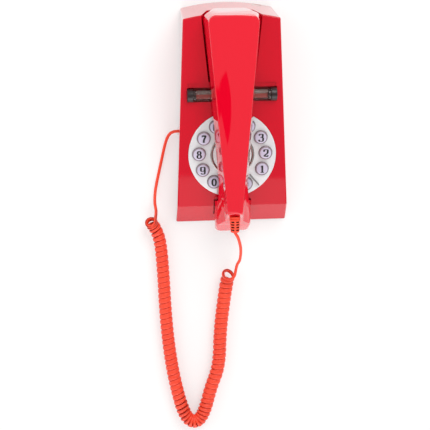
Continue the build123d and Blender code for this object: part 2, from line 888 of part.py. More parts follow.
with BuildPart() as microphone_capsule:
    with BuildSketch(Plane.XY.offset(notch_floor_z + run_gap + handset_wall)):
        with Locations((0, microphone_y)):
            Circle(microphone_radius)
    extrude(amount=microphone_height)

with BuildPart() as handset_weight:
    with BuildSketch(on_inner_floor(weight_y, bridge_gap)):
        Rectangle(weight_x_size, weight_y_size)
    extrude(amount=weight_height)

with BuildPart() as strain_relief:
    with BuildSketch(relief_plane.offset(-relief_in)):
        Circle(relief_root_radius)
    with BuildSketch(relief_plane.offset(relief_out)):
        Circle(relief_tip_radius)
    loft()
    with BuildSketch(relief_plane.offset(-relief_in)):
        Circle(relief_flange_radius)
    extrude(amount=relief_flange_length)
    for number in range(relief_slots):
        with Locations(relief_plane.offset(relief_out - (number + 1) * relief_slot_pitch)):
            with Locations((-relief_slot_x, relief_root_radius), (relief_slot_x, relief_root_radius)):
                Box(relief_slot_width, 2 * relief_slot_depth, relief_slot_length, mode=Mode.SUBTRACT)

# Cord. The coil's middle line rises at both ends, so that its last turns face upwards
relief_tip = relief_exit + relief_out_dir * (relief_out + run_gap)
coil_route = [
    (-4.2, -156.7, 21.5),
    (-4.4, -157.8, 14.2),
    (-5.6, -163.7, 9.2),
    (-8.0, -176.2, coil_lay_height),
    (-14.2, -216.0, coil_lay_height),
    (-15.8, -254.0, coil_lay_height),
    (-25.6, -277.0, coil_lay_height),
    (-31.0, -298.2, coil_lay_height),
    (-38.8, -311.8, coil_lay_height),
    (-48.5, -310.2, coil_lay_height),
    (-55.0, -296.2, coil_lay_height),
    (-59.5, -278.2, coil_lay_height),
    (-65.0, -248.2, coil_lay_height),
    (-69.0, -205.2, coil_lay_height),
    (-70.5, -148.2, coil_lay_height),
    (-72.5, -122.2, coil_lay_height),
    (-77.6, -110.2, 8.4),
    (-83.6, -103.2, 12.8),
]


def tangent_radii(points):
    """Each corner's radius, as large as its two runs allow."""
    corners = []
    for before, here, after in zip(points, points[1:], points[2:]):
        run_in = Vector(*here) - Vector(*before)
        run_out = Vector(*after) - Vector(*here)
        turn = math.radians(run_in.get_angle(run_out))
        corners.append(0.45 * min(run_in.length, run_out.length) / math.tan(turn / 2))
    return corners


with BuildLine() as coil_middle:
    FilletPolyline(*coil_route, radius=tangent_radii(coil_route))

middle_wire = coil_middle.wire()
middle_length = middle_wire.length
middle_steps = 1200
bend_place = max(
    (step / middle_steps for step in range(middle_steps)),
    key=lambda share: -(middle_wire @ share).Y,
)


def turn_spacing(share):
    """Spacing of the turns, wider at the bend and at the right end."""
    from_bend = (share - bend_place) * middle_length / bend_reach
    from_end = share * middle_length / end_reach
    return 1 + bend_opening * math.exp(-(from_bend**2)) + end_opening * math.exp(-(from_end**2))


def coil_frames():
    """Places along the middle line with two crosswise directions that never twist."""
    frames = []
    across = Vector(1, 0, 0)
    for step in range(middle_steps + 1):
        share = step / middle_steps
        along = middle_wire % share
        across = (across - along * across.dot(along)).normalized()
        frames.append((middle_wire @ share, along, across, along.cross(across)))
    return frames


frames = coil_frames()
last_along, last_across, last_up = frames[-1][1:]
leave_side = Vector(1, 0, 0) - last_along * last_along.X
phase_left = math.atan2(leave_side.dot(last_up), leave_side.dot(last_across))
whole_phase = 2 * math.pi * coil_turns + phase_left
weights = [1 / turn_spacing(step / middle_steps) for step in range(middle_steps)]
phases = [0.0]
for weight in weights:
    phases.append(phases[-1] + weight)
phases = [phase * whole_phase / phases[-1] for phase in phases]


def coil_point(phase):
    """A point on the wire's middle line, by the angle wound so far."""
    low, high = 0, middle_steps
    while high - low > 1:
        mid = (low + high) // 2
        if phases[mid] <= phase:
            low = mid
        else:
            high = mid
    part = (phase - phases[low]) / (phases[high] - phases[low])
    share = (low + part) / middle_steps
    outer = coil_outer_right + (coil_outer_left - coil_outer_right) * share
    radius = (outer - cord_diameter) / 2
    middle = frames[low][0] * (1 - part) + frames[high][0] * part
    across = frames[low][2] * (1 - part) + frames[high][2] * part
    up = frames[low][3] * (1 - part) + frames[high][3] * part
    return middle + across * (radius * math.cos(phase)) + up * (radius * math.sin(phase))


def coil_tangent(phase):
    """The wire's direction at an angle wound."""
    nudge = 0.01
    start = max(phase - nudge, 0.0)
    end = min(phase + nudge, whole_phase)
    return (coil_point(end) - coil_point(start)).normalized()


def biarc_joint(start, end, start_dir, end_dir):
    """Where two arcs meet that leave start and reach end in the given directions, and their direction there."""
    span = end - start
    both = start_dir + end_dir
    spread = 2 * (1 - start_dir.dot(end_dir))
    reach = (-span.dot(both) + math.sqrt(span.dot(both) ** 2 + spread * span.dot(span))) / spread
    corner_in = start + start_dir * reach
    corner_out = end - end_dir * reach
    return (corner_in + corner_out) * 0.5, (corner_out - corner_in).normalized()


half_turns = 2 * round(whole_phase / (2 * math.pi))
stations = [whole_phase * number / half_turns for number in range(half_turns + 1)]
wire_points = [coil_point(phase) for phase in stations]
wire_dirs = [coil_tangent(phase) for phase in stations]
coil_right_face = wire_points[0] - wire_dirs[0] * cord_diameter
coil_left_face = wire_points[-1] + wire_dirs[-1] * cord_diameter

with BuildPart() as cord_coil:
    with BuildLine() as winding:
        Line(coil_right_face, wire_points[0])
        for number in range(half_turns):
            start, end = wire_points[number], wire_points[number + 1]
            start_dir, end_dir = wire_dirs[number], wire_dirs[number + 1]
            joint, joint_dir = biarc_joint(start, end, start_dir, end_dir)
            TangentArc(start, joint, tangent=start_dir)
            TangentArc(joint, end, tangent=joint_dir)
        Line(wire_points[-1], coil_left_face)
    with BuildSketch(Plane(origin=coil_right_face, z_dir=wire_dirs[0])):
        Circle(cord_diameter / 2)
    sweep(path=winding.wire())

cord_right_route = [
    relief_tip,
    relief_tip + relief_out_dir * straight_run,
    (4.6, -126.2, 44.0),
    (7.2, -133.7, 37.2),
    (6.0, -142.2, 29.4),
    coil_right_face - wire_dirs[0] * straight_run,
    coil_right_face,
]
plug_exit = Vector(plug_face_x, handset_jack_y, socket_z)
cord_left_route = [
    plug_exit,
    plug_exit - Vector(plug_run, 0, 0),
    (-61.4, -16.8, 7.0),
    (-64.6, -24.7, 4.2),
    (-68.0, -38.7, 2.0),
    (-72.2, -55.7, 1.7),
    (-76.4, -73.2, 1.7),
    (-77.8, -84.7, 2.2),
    coil_left_face + wire_dirs[-1] * straight_run,
    coil_left_face,
]


def cord_tube(route):
    """A tube along straight runs joined by tangent arcs."""
    radii = tangent_radii([tuple(Vector(*point)) for point in route])
    with BuildPart() as tube:
        with BuildLine() as path:
            FilletPolyline(*route, radius=radii)
        start = path.wire()
        with BuildSketch(Plane(origin=start @ 0, z_dir=start % 0)):
            Circle(cord_diameter / 2)
        sweep(path=start)
    section = math.pi * cord_diameter**2 / 4
    ratio = tube.part.volume / (section * start.length)
    print("radii", [round(radius, 1) for radius in radii], "length", round(start.length, 1), "volume", round(ratio, 4))
    return tube.part


cord_right = cord_tube(cord_right_route)
cord_left = cord_tube(cord_left_route)


def least_gap():
    """Smallest clear gap between turns of the coil, measured on points."""
    per_turn = 24
    count = round(whole_phase / (2 * math.pi) * per_turn)
    points = [coil_point(whole_phase * number / count) for number in range(count + 1)]
    smallest = math.inf
    for number, point in enumerate(points):
        for other in points[number + per_turn // 2:number + 4 * per_turn]:
            smallest = min(smallest, (point - other).length)
    return smallest - cord_diameter


winding_length = winding.wire().length
coil_ratio = cord_coil.part.volume / (math.pi * cord_diameter**2 / 4 * winding_length)
print("coil turns", round(whole_phase / (2 * math.pi), 2), "length", round(winding_length, 1))
print("coil volume", round(coil_ratio, 4), "least gap", round(least_gap(), 2))

# Write every piece
pieces = {
    "top_housing": top_housing.part,
    "base_plate": base_plate.part,
    "rubber_feet": rubber_feet.part,
    "base_screws": base_screws.part,
    "dial_plate": dial_plate.part,
    "centre_ring": centre_ring.part,
    "centre_card": centre_card.part,
    "finger_stop": finger_stop.part,
    **keys,
    "keypad_mat": keypad_mat.part,
    "keypad_board": keypad_board.part,
    "keypad_screws": keypad_screws.part,
    "number_window": number_window.part,
    "window_caps": window_caps.part,
    "number_card": number_card.part,
    "main_board": main_board.part,
    "board_screws": board_screws.part,
    "ringer": ringer.part,
    "ballast_weight": ballast_weight.part,
    "handset_jack": handset_jack.part,
    "line_jack": line_jack.part,
    "hook_switch": hook_switch.part,
    "hook_plunger": hook_plunger.part,
    "handset_cover": handset_cover.part,
    "handset_inner": handset_inner.part,
    "handset_screws": handset_screws.part,
    "receiver_capsule": receiver_capsule.part,
    "microphone_capsule": microphone_capsule.part,
    "handset_weight": handset_weight.part,
    "strain_relief": strain_relief.part,
    "cord_plug": cord_plug.part,
    "cord_left": cord_left,
    "cord_coil": cord_coil.part,
    "cord_right": cord_right,
}

os.makedirs("parts", exist_ok=True)
for name, piece in pieces.items():
    piece.label = name
    export_step(piece, f"parts/{name}.step")
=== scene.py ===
import math

import bmesh
import bpy
from mathutils import Matrix, Vector


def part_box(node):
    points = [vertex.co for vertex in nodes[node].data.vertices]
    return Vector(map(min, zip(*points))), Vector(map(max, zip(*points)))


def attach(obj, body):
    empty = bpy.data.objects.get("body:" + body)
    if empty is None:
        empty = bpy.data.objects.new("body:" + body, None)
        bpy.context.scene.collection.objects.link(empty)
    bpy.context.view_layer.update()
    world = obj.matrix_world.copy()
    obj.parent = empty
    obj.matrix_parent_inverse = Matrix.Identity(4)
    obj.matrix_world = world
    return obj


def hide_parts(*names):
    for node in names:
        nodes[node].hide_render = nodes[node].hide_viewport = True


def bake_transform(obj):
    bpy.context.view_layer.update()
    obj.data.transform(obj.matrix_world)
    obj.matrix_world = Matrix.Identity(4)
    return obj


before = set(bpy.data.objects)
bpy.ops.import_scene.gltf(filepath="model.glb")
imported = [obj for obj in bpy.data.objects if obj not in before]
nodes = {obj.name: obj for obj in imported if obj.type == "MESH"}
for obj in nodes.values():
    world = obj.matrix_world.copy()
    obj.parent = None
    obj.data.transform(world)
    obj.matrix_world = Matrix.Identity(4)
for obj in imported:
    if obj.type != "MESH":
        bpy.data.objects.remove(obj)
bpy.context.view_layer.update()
scene = bpy.context.scene
mm = 0.001
tiny = 1e-6  # keeps a division away from zero
weldGap, cutGap = 1e-6, 1e-7  # points this near are one, or lie on a cut, in metres
print("frame loaded:", len(nodes), "nodes")

# the sloping face that the dial, the window and the grip are measured from, in mm
faceLines = dict(frontY=-105.6, edgeZ=24.85, frontLean=35.03, slope=13.8)
faceAngle = math.radians(faceLines["slope"])
faceEdgeY = faceLines["frontY"] + faceLines["edgeZ"] * math.tan(math.radians(faceLines["frontLean"]))
faceUp = Vector((0, math.cos(faceAngle), math.sin(faceAngle)))
faceOut = Vector((0, -math.sin(faceAngle), math.cos(faceAngle)))


def onFace(x, up, out):
    return Vector((x, faceEdgeY, faceLines["edgeZ"])) + faceUp * up + faceOut * out


def faceZ(y):
    return faceLines["edgeZ"] + (y - faceEdgeY) * math.tan(faceAngle)


# small mesh tools, all in mm until the mesh is made
def makeMesh(name, points, faces):
    mesh = bpy.data.meshes.new(name)
    mesh.from_pydata([Vector(p) * mm for p in points], [], faces)
    mesh.validate()
    mesh.update()
    return mesh


def smoothOver(mesh, sharpAt):  # smooth faces, with a crease where they meet at more than this angle
    mesh.shade_smooth()
    mesh.set_sharp_from_angle(angle=math.radians(sharpAt))


def makePiece(name, mesh, finish=None, sharpAt=35):
    piece = bpy.data.objects.new(name, mesh)
    scene.collection.objects.link(piece)
    if finish:
        mesh.materials.clear()
        mesh.materials.append(finish)
    smoothOver(mesh, sharpAt)
    return piece


def dropPiece(piece):
    bpy.data.objects.remove(piece)


def bakePiece(piece):  # the evaluated shape becomes the piece's own plain mesh
    mesh = bpy.data.meshes.new_from_object(piece.evaluated_get(bpy.context.evaluated_depsgraph_get()))
    piece.modifiers.clear()
    piece.data = mesh
    return piece


def fixNormals(mesh):
    work = bmesh.new()
    work.from_mesh(mesh)
    bmesh.ops.remove_doubles(work, verts=work.verts, dist=weldGap)
    bmesh.ops.recalc_face_normals(work, faces=work.faces)
    work.to_mesh(mesh)
    work.free()


def lathe(name, profile, steps=48):  # profile of (radius, height) from pole to pole
    points, faces, rings = [], [], []
    for radius, height in profile:
        if radius < tiny:
            rings.append([len(points)] * steps)
            points.append((0, 0, height))
            continue
        rings.append(list(range(len(points), len(points) + steps)))
        for step in range(steps):
            turn = 2 * math.pi * step / steps
            points.append((radius * math.cos(turn), radius * math.sin(turn), height))
    for low, high in zip(rings, rings[1:]):
        for step in range(steps):
            after = (step + 1) % steps
            corners = [low[step], low[after], high[after], high[step]]
            faces.append(list(dict.fromkeys(corners)))
    mesh = makeMesh(name, points, faces)
    fixNormals(mesh)
    return mesh


def ringLoft(name, rings):  # closed rings of equal count, capped at both ends
    count = len(rings[0])
    points = [p for ring in rings for p in ring]
    faces = [list(range(count)), list(range(len(points) - count, len(points)))]
    for index in range(len(rings) - 1):
        base = index * count
        for step in range(count):
            after = (step + 1) % count
            faces.append([base + step, base + after, base + count + after, base + count + step])
    mesh = makeMesh(name, points, faces)
    fixNormals(mesh)
    return mesh


def roundOff(corners, radii, steps=4, most=0.45):  # softens the corners of a closed outline
    outline = []
    for index, here in enumerate(corners):
        before, after = corners[index - 1], corners[(index + 1) % len(corners)]
        here, before, after = Vector(here), Vector(before), Vector(after)
        toBefore, toAfter = before - here, after - here
        half = toBefore.angle(toAfter) / 2
        reach = radii[index] / max(math.tan(half), tiny)
        reach = min(reach, most * toBefore.length, most * toAfter.length)
        start, end = here + toBefore.normalized() * reach, here + toAfter.normalized() * reach
        for step in range(steps + 1):
            share = step / steps
            outline.append(start * (1 - share) ** 2 + here * 2 * share * (1 - share) + end * share**2)
    return outline


def mirrored(right, radii):  # a closed outline from its right half
    left = [(-x, z) for x, z in reversed(right)]
    return roundOff(right + left, radii + tuple(reversed(radii)))


def table(pairs, at):  # straight lines between (place, value) pairs
    for (x0, v0), (x1, v1) in zip(pairs, pairs[1:]):
        if at <= x1:
            return v0 + (v1 - v0) * max(0.0, (at - x0) / (x1 - x0))
    return pairs[-1][1]


def nurbsLine(points, resolution=16):  # points read from a smooth spline through the route
    curve = bpy.data.curves.new("routeLine", "CURVE")
    curve.dimensions = "3D"
    curve.resolution_u = resolution
    spline = curve.splines.new("NURBS")
    spline.points.add(len(points) - 1)
    for place, point in zip(spline.points, points):
        place.co = (*(Vector(point) * mm), 1)
    spline.order_u = 3
    spline.use_endpoint_u = True
    holder = bpy.data.objects.new("routeLine", curve)
    scene.collection.objects.link(holder)
    mesh = bpy.data.meshes.new_from_object(holder)
    line = [v.co / mm for v in mesh.vertices]
    dropPiece(holder)
    bpy.data.meshes.remove(mesh)
    return line


def lineAlong(line, index):  # which way a line of points runs at one of them
    return (line[min(index + 1, len(line) - 1)] - line[max(index - 1, 0)]).normalized()


def joinForms(base, others, operation, finishes="INDEX"):
    for other in others:
        modifier = base.modifiers.new("join", "BOOLEAN")
        modifier.object, modifier.operation, modifier.solver = other, operation, "EXACT"
        modifier.material_mode = finishes
    bpy.context.view_layer.update()
    bakePiece(base)
    for other in others:
        dropPiece(other)
    fixNormals(base.data)
    return base


def barShape(long, wide, tall):
    points = [(x * long / 2, y * wide / 2, z * tall) for z in (-1, 1) for y in (-1, 1) for x in (-1, 1)]
    faces = [[0, 2, 3, 1], [4, 5, 7, 6], [0, 1, 5, 4], [2, 6, 7, 3], [0, 4, 6, 2], [1, 3, 7, 5]]
    return points, faces


# shader maths as Python sums
class Wire:
    def __init__(self, finish, socket):
        self.finish, self.socket = finish, socket

    def __add__(self, other):
        return self.finish.sum("ADD", self, other)

    def __sub__(self, other):
        return self.finish.sum("SUBTRACT", self, other)

    def __rsub__(self, other):
        return self.finish.sum("SUBTRACT", other, self)

    def __mul__(self, other):
        return self.finish.sum("MULTIPLY", self, other)

    __radd__, __rmul__ = __add__, __mul__


class Finish:  # the nodes of a material, or of the world where that is handed in
    def __init__(self, name, fixed=None, world=None):
        self.material = world or bpy.data.materials.new(name)
        self.material.use_nodes = True
        self.tree = self.material.node_tree
        self.shader = self.tree.nodes["Background" if world else "Principled BSDF"]
        for socket, value in (fixed or {}).items():
            self.shader.inputs[socket].default_value = value

    def feed(self, socket, value):
        if isinstance(value, Wire):
            self.tree.links.new(value.socket, socket)
        else:
            socket.default_value = value

    def add(self, kind, settings=None, inputs=None, out=0):
        node = self.tree.nodes.new(kind)
        for key, value in (settings or {}).items():
            setattr(node, key, value)
        for key, value in (inputs or {}).items():
            self.feed(node.inputs[key], value)
        return Wire(self, node.outputs[out])

    def sum(self, operation, a, b):
        return self.add("ShaderNodeMath", {"operation": operation}, {0: a, 1: b})

    def mix(self, share, a, b):
        return self.add("ShaderNodeMix", {"data_type": "RGBA"}, {0: share, 6: a, 7: b}, 2)

    def place(self):
        return self.add("ShaderNodeTexCoord", out="Object")

    def cloud(self, scale, detail=3.0, at=None):
        inputs = {"Vector": at or self.place(), "Scale": scale, "Detail": detail}
        return self.add("ShaderNodeTexNoise", None, inputs, 0)

    def ramp(self, value, low, high):
        inputs = {"Value": value, "From Min": low, "From Max": high}
        return self.add("ShaderNodeMapRange", {"clamp": True}, inputs, 0)

    def bump(self, height, strength, distance):
        inputs = {"Height": height, "Strength": strength, "Distance": distance}
        self.feed(self.shader.inputs["Normal"], self.add("ShaderNodeBump", None, inputs, 0))

    def use(self, socket, value):
        self.feed(self.shader.inputs[socket], value)
        return self


def tint(red, green, blue):  # screen values 0-255 as linear colour
    def line(value):
        value /= 255
        return value / 12.92 if value <= 0.04045 else ((value + 0.055) / 1.055) ** 2.4
    return (line(red), line(green), line(blue), 1.0)


def glossPlastic(name, colour, shade, rough=0.1, coat=0.5, ior=1.45, coatIor=1.35, grain=0.05):
    finish = Finish(name, {"IOR": ior, "Coat Roughness": 0.01, "Coat IOR": coatIor, "Coat Weight": coat})
    finish.use("Base Color", finish.mix(finish.cloud(9, 2), colour, shade))
    smear = finish.cloud(55, 4)
    finish.use("Roughness", rough + 0.06 * finish.ramp(smear, 0.5, 0.85))
    if grain:
        finish.bump(finish.cloud(420, 2), grain, 0.0002)
    return finish.material


def cordPlastic(name, colour, shade, creaseShade):  # painted shade: darker colour in the creases between the turns, where the mesh marks them
    finish = Finish(name, {"IOR": 1.45})
    skin = finish.mix(finish.cloud(60, 3), colour, shade)
    depth = finish.add("ShaderNodeAttribute", {"attribute_name": "creaseShade"}, None, "Fac")
    finish.use("Base Color", finish.mix(depth, skin, creaseShade))
    finish.use("Roughness", 0.34 + 0.15 * finish.cloud(240, 2))
    finish.bump(finish.cloud(1500, 2), 0.25, 0.0002)
    return finish.material


def mattePlastic(name, colour, shade, rough=0.5, grain=900):
    finish = Finish(name)
    finish.use("Base Color", finish.mix(finish.cloud(60, 3), colour, shade))
    finish.use("Roughness", rough + 0.15 * finish.cloud(240, 2))
    finish.bump(finish.cloud(grain, 2), 0.25, 0.0002)
    return finish.material


def metal(name, colour, shade, rough=0.25, stretch=(1, 1, 1), grain=300, metallic=1.0):
    finish = Finish(name, {"Metallic": metallic})
    spread = finish.add("ShaderNodeMapping", None, {"Vector": finish.place(), "Scale": stretch})
    streakAndReflection = finish.cloud(grain, 3, spread)
    # streaks in the colour: brushing marks on the steels, painted reflection on the dial
    finish.use("Base Color", finish.mix(streakAndReflection, colour, shade))
    finish.use("Roughness", rough + 0.12 * finish.ramp(streakAndReflection, 0.35, 0.75))
    return finish.material


# one red plastic in two copies: the handset's red is painted lighter than the body's, as painted light for
# the stronger light on it
redGloss = glossPlastic("redGloss", tint(206, 5, 35), tint(200, 4, 33), 0.02, 1.0, 1.42, 1.2, 0)
gripRedPaintedLighter = glossPlastic("gripRedPaintedLighter", tint(227, 6, 38), tint(222, 5, 36), 0.02, 1.0, 1.47, 1.45, 0)
# painted shade: a near-black finish for the insides of the strain relief's slots, where shade falls
slotPaintedShade = mattePlastic("slotPaintedShade", tint(34, 10, 8), tint(26, 8, 7), 0.6, 900)
# the cord's third colour is painted shade for the creases between its turns
cordVinyl = cordPlastic("cordVinyl", tint(246, 78, 48), tint(238, 64, 40), tint(120, 18, 12))
blackPlastic = mattePlastic("blackPlastic", tint(30, 30, 32), tint(22, 22, 24))
footRubber = mattePlastic("footRubber", tint(34, 33, 32), tint(24, 24, 24), 0.7, 600)
matRubber = mattePlastic("matRubber", tint(120, 120, 124), tint(108, 108, 112), 0.6, 600)
whitePlastic = mattePlastic("whitePlastic", tint(228, 228, 222), tint(220, 219, 212), 0.4)
plugPlastic = glossPlastic("plugPlastic", tint(214, 216, 220), tint(204, 206, 212), 0.15)
keyTopPlastic = glossPlastic("keyTopPlastic", tint(206, 201, 222), tint(198, 193, 215), 0.16, 0.4)
keyRimPlastic = glossPlastic("keyRimPlastic", tint(152, 138, 148), tint(136, 120, 126), 0.2, 0.4)
printInk = mattePlastic("printInk", tint(14, 13, 15), tint(20, 19, 21), 0.35, 1200)
# the dial's grey streaks in its colour are painted reflection
dialChrome = metal("dialChrome", tint(255, 255, 255), tint(230, 233, 238), 0.06, (1, 2.5, 1), 90, 0.35)
ringChrome = metal("ringChrome", tint(196, 184, 180), tint(150, 132, 128), 0.16, (1, 1, 1), 500)
stopSteel = metal("stopSteel", tint(164, 156, 157), tint(136, 130, 131), 0.3, (1, 8, 1), 300)
screwSteel = metal("screwSteel", tint(188, 190, 194), tint(160, 162, 166), 0.28, (1, 8, 1), 400)
weightIron = metal("weightIron", tint(120, 120, 122), tint(96, 95, 96), 0.5, (1, 1, 1), 260)
cardPaper = mattePlastic("cardPaper", tint(240, 241, 242), tint(232, 233, 235), 0.45, 1800)
capSmoke = glossPlastic("capSmoke", tint(46, 32, 33), tint(32, 22, 23), 0.3, 0.1)


def smokedClear():  # thin walls, so the see-through share is set and no ray is bent
    finish = Finish("smokedClear", {"IOR": 1.45, "Alpha": 0.2})
    finish.use("Base Color", finish.mix(finish.cloud(30, 2), tint(86, 66, 62), tint(74, 54, 52)))
    finish.use("Roughness", 0.04 + 0.05 * finish.cloud(80, 2))
    return finish.material


def numberCard(reflectionFrom=112.4, reflectionTo=112.8):  # a blank strip, its rear part painted grey-brown as the reflection seen on the tube and its front part red-brown
    finish = Finish("numberCard", {"Roughness": 0.5})
    along = finish.add("ShaderNodeSeparateXYZ", None, {"Vector": finish.place()}, "Y")
    # painted reflection: the card turns grey-brown toward its rear edge
    rear = finish.ramp(along, onFace(0, reflectionFrom, 0).y * mm, onFace(0, reflectionTo, 0).y * mm)
    finish.use("Base Color", finish.mix(rear, tint(206, 86, 78), tint(154, 132, 124)))
    finish.bump(finish.cloud(1500, 2), 0.2, 0.0002)
    return finish.material


def boardLaminate():  # green laminate with lighter traces
    finish = Finish("boardLaminate")
    lines = finish.add("ShaderNodeTexBrick", None, {"Vector": finish.place(), "Scale": 160.0}, "Fac")
    finish.use("Base Color", finish.mix(lines, tint(34, 92, 58), tint(62, 128, 84)))
    finish.use("Roughness", 0.35 + 0.2 * finish.cloud(200, 2))
    return finish.material


windowSmoke, boardGreen, cardDark = smokedClear(), boardLaminate(), numberCard()
print("finishes made:", len(bpy.data.materials))

# which finish each CAD piece that stays in view or inside takes
nodeFinishes = {
    "base_plate": blackPlastic, "rubber_feet": footRubber, "dial_plate": dialChrome,
    "centre_card": cardPaper, "finger_stop": stopSteel, "keypad_mat": matRubber,
    "keypad_board": boardGreen, "main_board": boardGreen, "keypad_screws": screwSteel,
    "board_screws": screwSteel, "number_window": windowSmoke, "number_card": cardDark,
    "ringer": blackPlastic, "ballast_weight": weightIron, "handset_weight": weightIron,
    "handset_jack": whitePlastic, "line_jack": whitePlastic, "hook_switch": blackPlastic,
    "hook_plunger": whitePlastic, "receiver_capsule": blackPlastic, "microphone_capsule": blackPlastic,
    "cord_plug": plugPlastic, "top_housing": redGloss,
}
for nodeName, finish in nodeFinishes.items():
    mesh = nodes[nodeName].data
    mesh.materials.clear()
    mesh.materials.append(finish)


# geometry nodes: one pattern repeated at every point, turned the same way
def scatterTree():
    tree = bpy.data.node_groups.new("scatterTree", "GeometryNodeTree")
    face = tree.interface
    face.new_socket("Places", in_out="INPUT", socket_type="NodeSocketGeometry")
    face.new_socket("Pattern", in_out="INPUT", socket_type="NodeSocketObject")
    face.new_socket("Turn", in_out="INPUT", socket_type="NodeSocketRotation")
    face.new_socket("Finish", in_out="INPUT", socket_type="NodeSocketMaterial")
    face.new_socket("Repeated", in_out="OUTPUT", socket_type="NodeSocketGeometry")
    start, end = tree.nodes.new("NodeGroupInput"), tree.nodes.new("NodeGroupOutput")
    pattern = tree.nodes.new("GeometryNodeObjectInfo")
    spread = tree.nodes.new("GeometryNodeInstanceOnPoints")
    whole = tree.nodes.new("GeometryNodeRealizeInstances")
    dress = tree.nodes.new("GeometryNodeSetMaterial")
    link = tree.links.new
    link(start.outputs["Places"], spread.inputs["Points"])
    link(start.outputs["Pattern"], pattern.inputs["Object"])
    link(pattern.outputs["Geometry"], spread.inputs["Instance"])
    link(start.outputs["Turn"], spread.inputs["Rotation"])
    link(spread.outputs["Instances"], whole.inputs["Geometry"])
    link(whole.outputs["Geometry"], dress.inputs["Geometry"])
    link(start.outputs["Finish"], dress.inputs["Material"])
    link(dress.outputs["Geometry"], end.inputs["Repeated"])
    return tree


repeatTree = scatterTree()


def repeatAt(name, places, patternMesh, turn, finish):
    pattern = bpy.data.objects.new(name + "Pattern", patternMesh)
    piece = makePiece(name, makeMesh(name, places, []))
    modifier = piece.modifiers.new("repeat", "NODES")
    modifier.node_group = repeatTree
    ids = {item.name: item.identifier for item in repeatTree.interface.items_tree}
    modifier[ids["Pattern"]] = pattern
    modifier[ids["Turn"]] = turn
    modifier[ids["Finish"]] = finish
    bpy.context.view_layer.update()
    bakePiece(piece)
    dropPiece(pattern)
    return piece


def ridesAs(piece, body, slot, *replaced):
    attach(piece, body)
    if replaced:
        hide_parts(*replaced)
    return piece


# camera, fitted to the photograph: straight down, a little from the left
cameraSet = dict(
    place=(-77.73, -8.38, 999.88), lens=82.68, sensor=36.0, clip=(0.05, 20.0),
    right=(0.9977, -0.0241, 0.0638), up=(0.0297, 0.9956, -0.0886), back=(-0.0614, 0.0903, 0.994),
)
cameraData = bpy.data.cameras.new("camera")
cameraData.lens, cameraData.sensor_width = cameraSet["lens"], cameraSet["sensor"]
cameraData.clip_start, cameraData.clip_end = cameraSet["clip"]
camera = bpy.data.objects.new("camera", cameraData)
scene.collection.objects.link(camera)
turn = Matrix((cameraSet["right"], cameraSet["up"], cameraSet["back"])).transposed().to_4x4().to_quaternion()
camera.matrix_world = Matrix.Translation(Vector(cameraSet["place"]) * mm) @ turn.to_matrix().to_4x4()
scene.camera = camera
print("camera placed")

# ribbed strain relief where the cord leaves the front face of the handset
reliefSet = dict(
    ridgeY=-93.8, ridgeZ=61.0, ridgeLean=10.45, faceLean=22.8, drop=9.0, play=0.3,
    long=14.5, root=5.2, tip=4.2, plug=4.6, neck=4.5, collar=5.2, inside=1.5,
    square=2.8, bulge=1.06, sides=40,
    rows=4, firstRow=3.4, pitch=2.75, slotX=2.35, slotWide=2.9, slotLong=1.35, slotDeep=3.4,
)
ridgeLean = math.radians(reliefSet["ridgeLean"])
reliefDir = Vector((0, -math.cos(ridgeLean), -math.sin(ridgeLean)))
reliefExitY = reliefSet["ridgeY"] - reliefSet["drop"] * math.tan(math.radians(reliefSet["faceLean"]))
reliefReach = reliefSet["long"] + reliefSet["play"]
reliefTip = Vector((0, reliefExitY, reliefSet["ridgeZ"] - reliefSet["drop"])) + reliefDir * reliefReach


def reliefRing(place, radius):  # between a circle and a square
    ring, across, up = [], Vector((1, 0, 0)), reliefDir.cross(Vector((1, 0, 0)))
    square, sides = reliefSet["square"], reliefSet["sides"]
    for step in range(sides):
        turn = 2 * math.pi * step / sides
        flat = (abs(math.cos(turn)) ** square + abs(math.sin(turn)) ** square) ** (-1 / square)
        out = across * math.cos(turn) + up * math.sin(turn)
        ring.append(place + out * radius * min(flat, reliefSet["bulge"]))
    return ring


def makeRelief():
    root = reliefTip - reliefDir * reliefReach
    up = reliefDir.cross(Vector((1, 0, 0)))
    long, tip, collar, neck = (reliefSet[key] for key in ("long", "tip", "collar", "neck"))
    sizes = [  # place along it and radius
        (-reliefSet["inside"], reliefSet["plug"]), (-0.6, collar), (0.2, collar), (0.5, neck), (1.0, neck),
        (1.25, reliefSet["root"]), (long - 0.5, tip), (long, tip - 0.5),
    ]
    rings = [reliefRing(root + reliefDir * far, size) for far, size in sizes]
    body = makePiece("strainRelief", ringLoft("strainRelief", rings), cordVinyl)
    places = []
    for row in range(reliefSet["rows"]):
        here = root + reliefDir * (reliefSet["firstRow"] + row * reliefSet["pitch"])
        places += [here + Vector((side * reliefSet["slotX"], 0, 0)) + up * rise for side in (1, -1)
                   for rise in (reliefSet["root"], -reliefSet["root"])]
    bar = barShape(reliefSet["slotWide"], reliefSet["slotLong"], reliefSet["slotDeep"])
    # the slot walls take the dark cutters' finish: painted shade in the slots
    slots = repeatAt("reliefSlots", places, makeMesh("reliefSlot", *bar), (ridgeLean, 0, 0), slotPaintedShade)
    joinForms(body, [slots], "DIFFERENCE", "TRANSFER")
    smoothOver(body.data, 35)
    return ridesAs(body, "handset", "cord_vinyl", "strain_relief")


makeRelief()

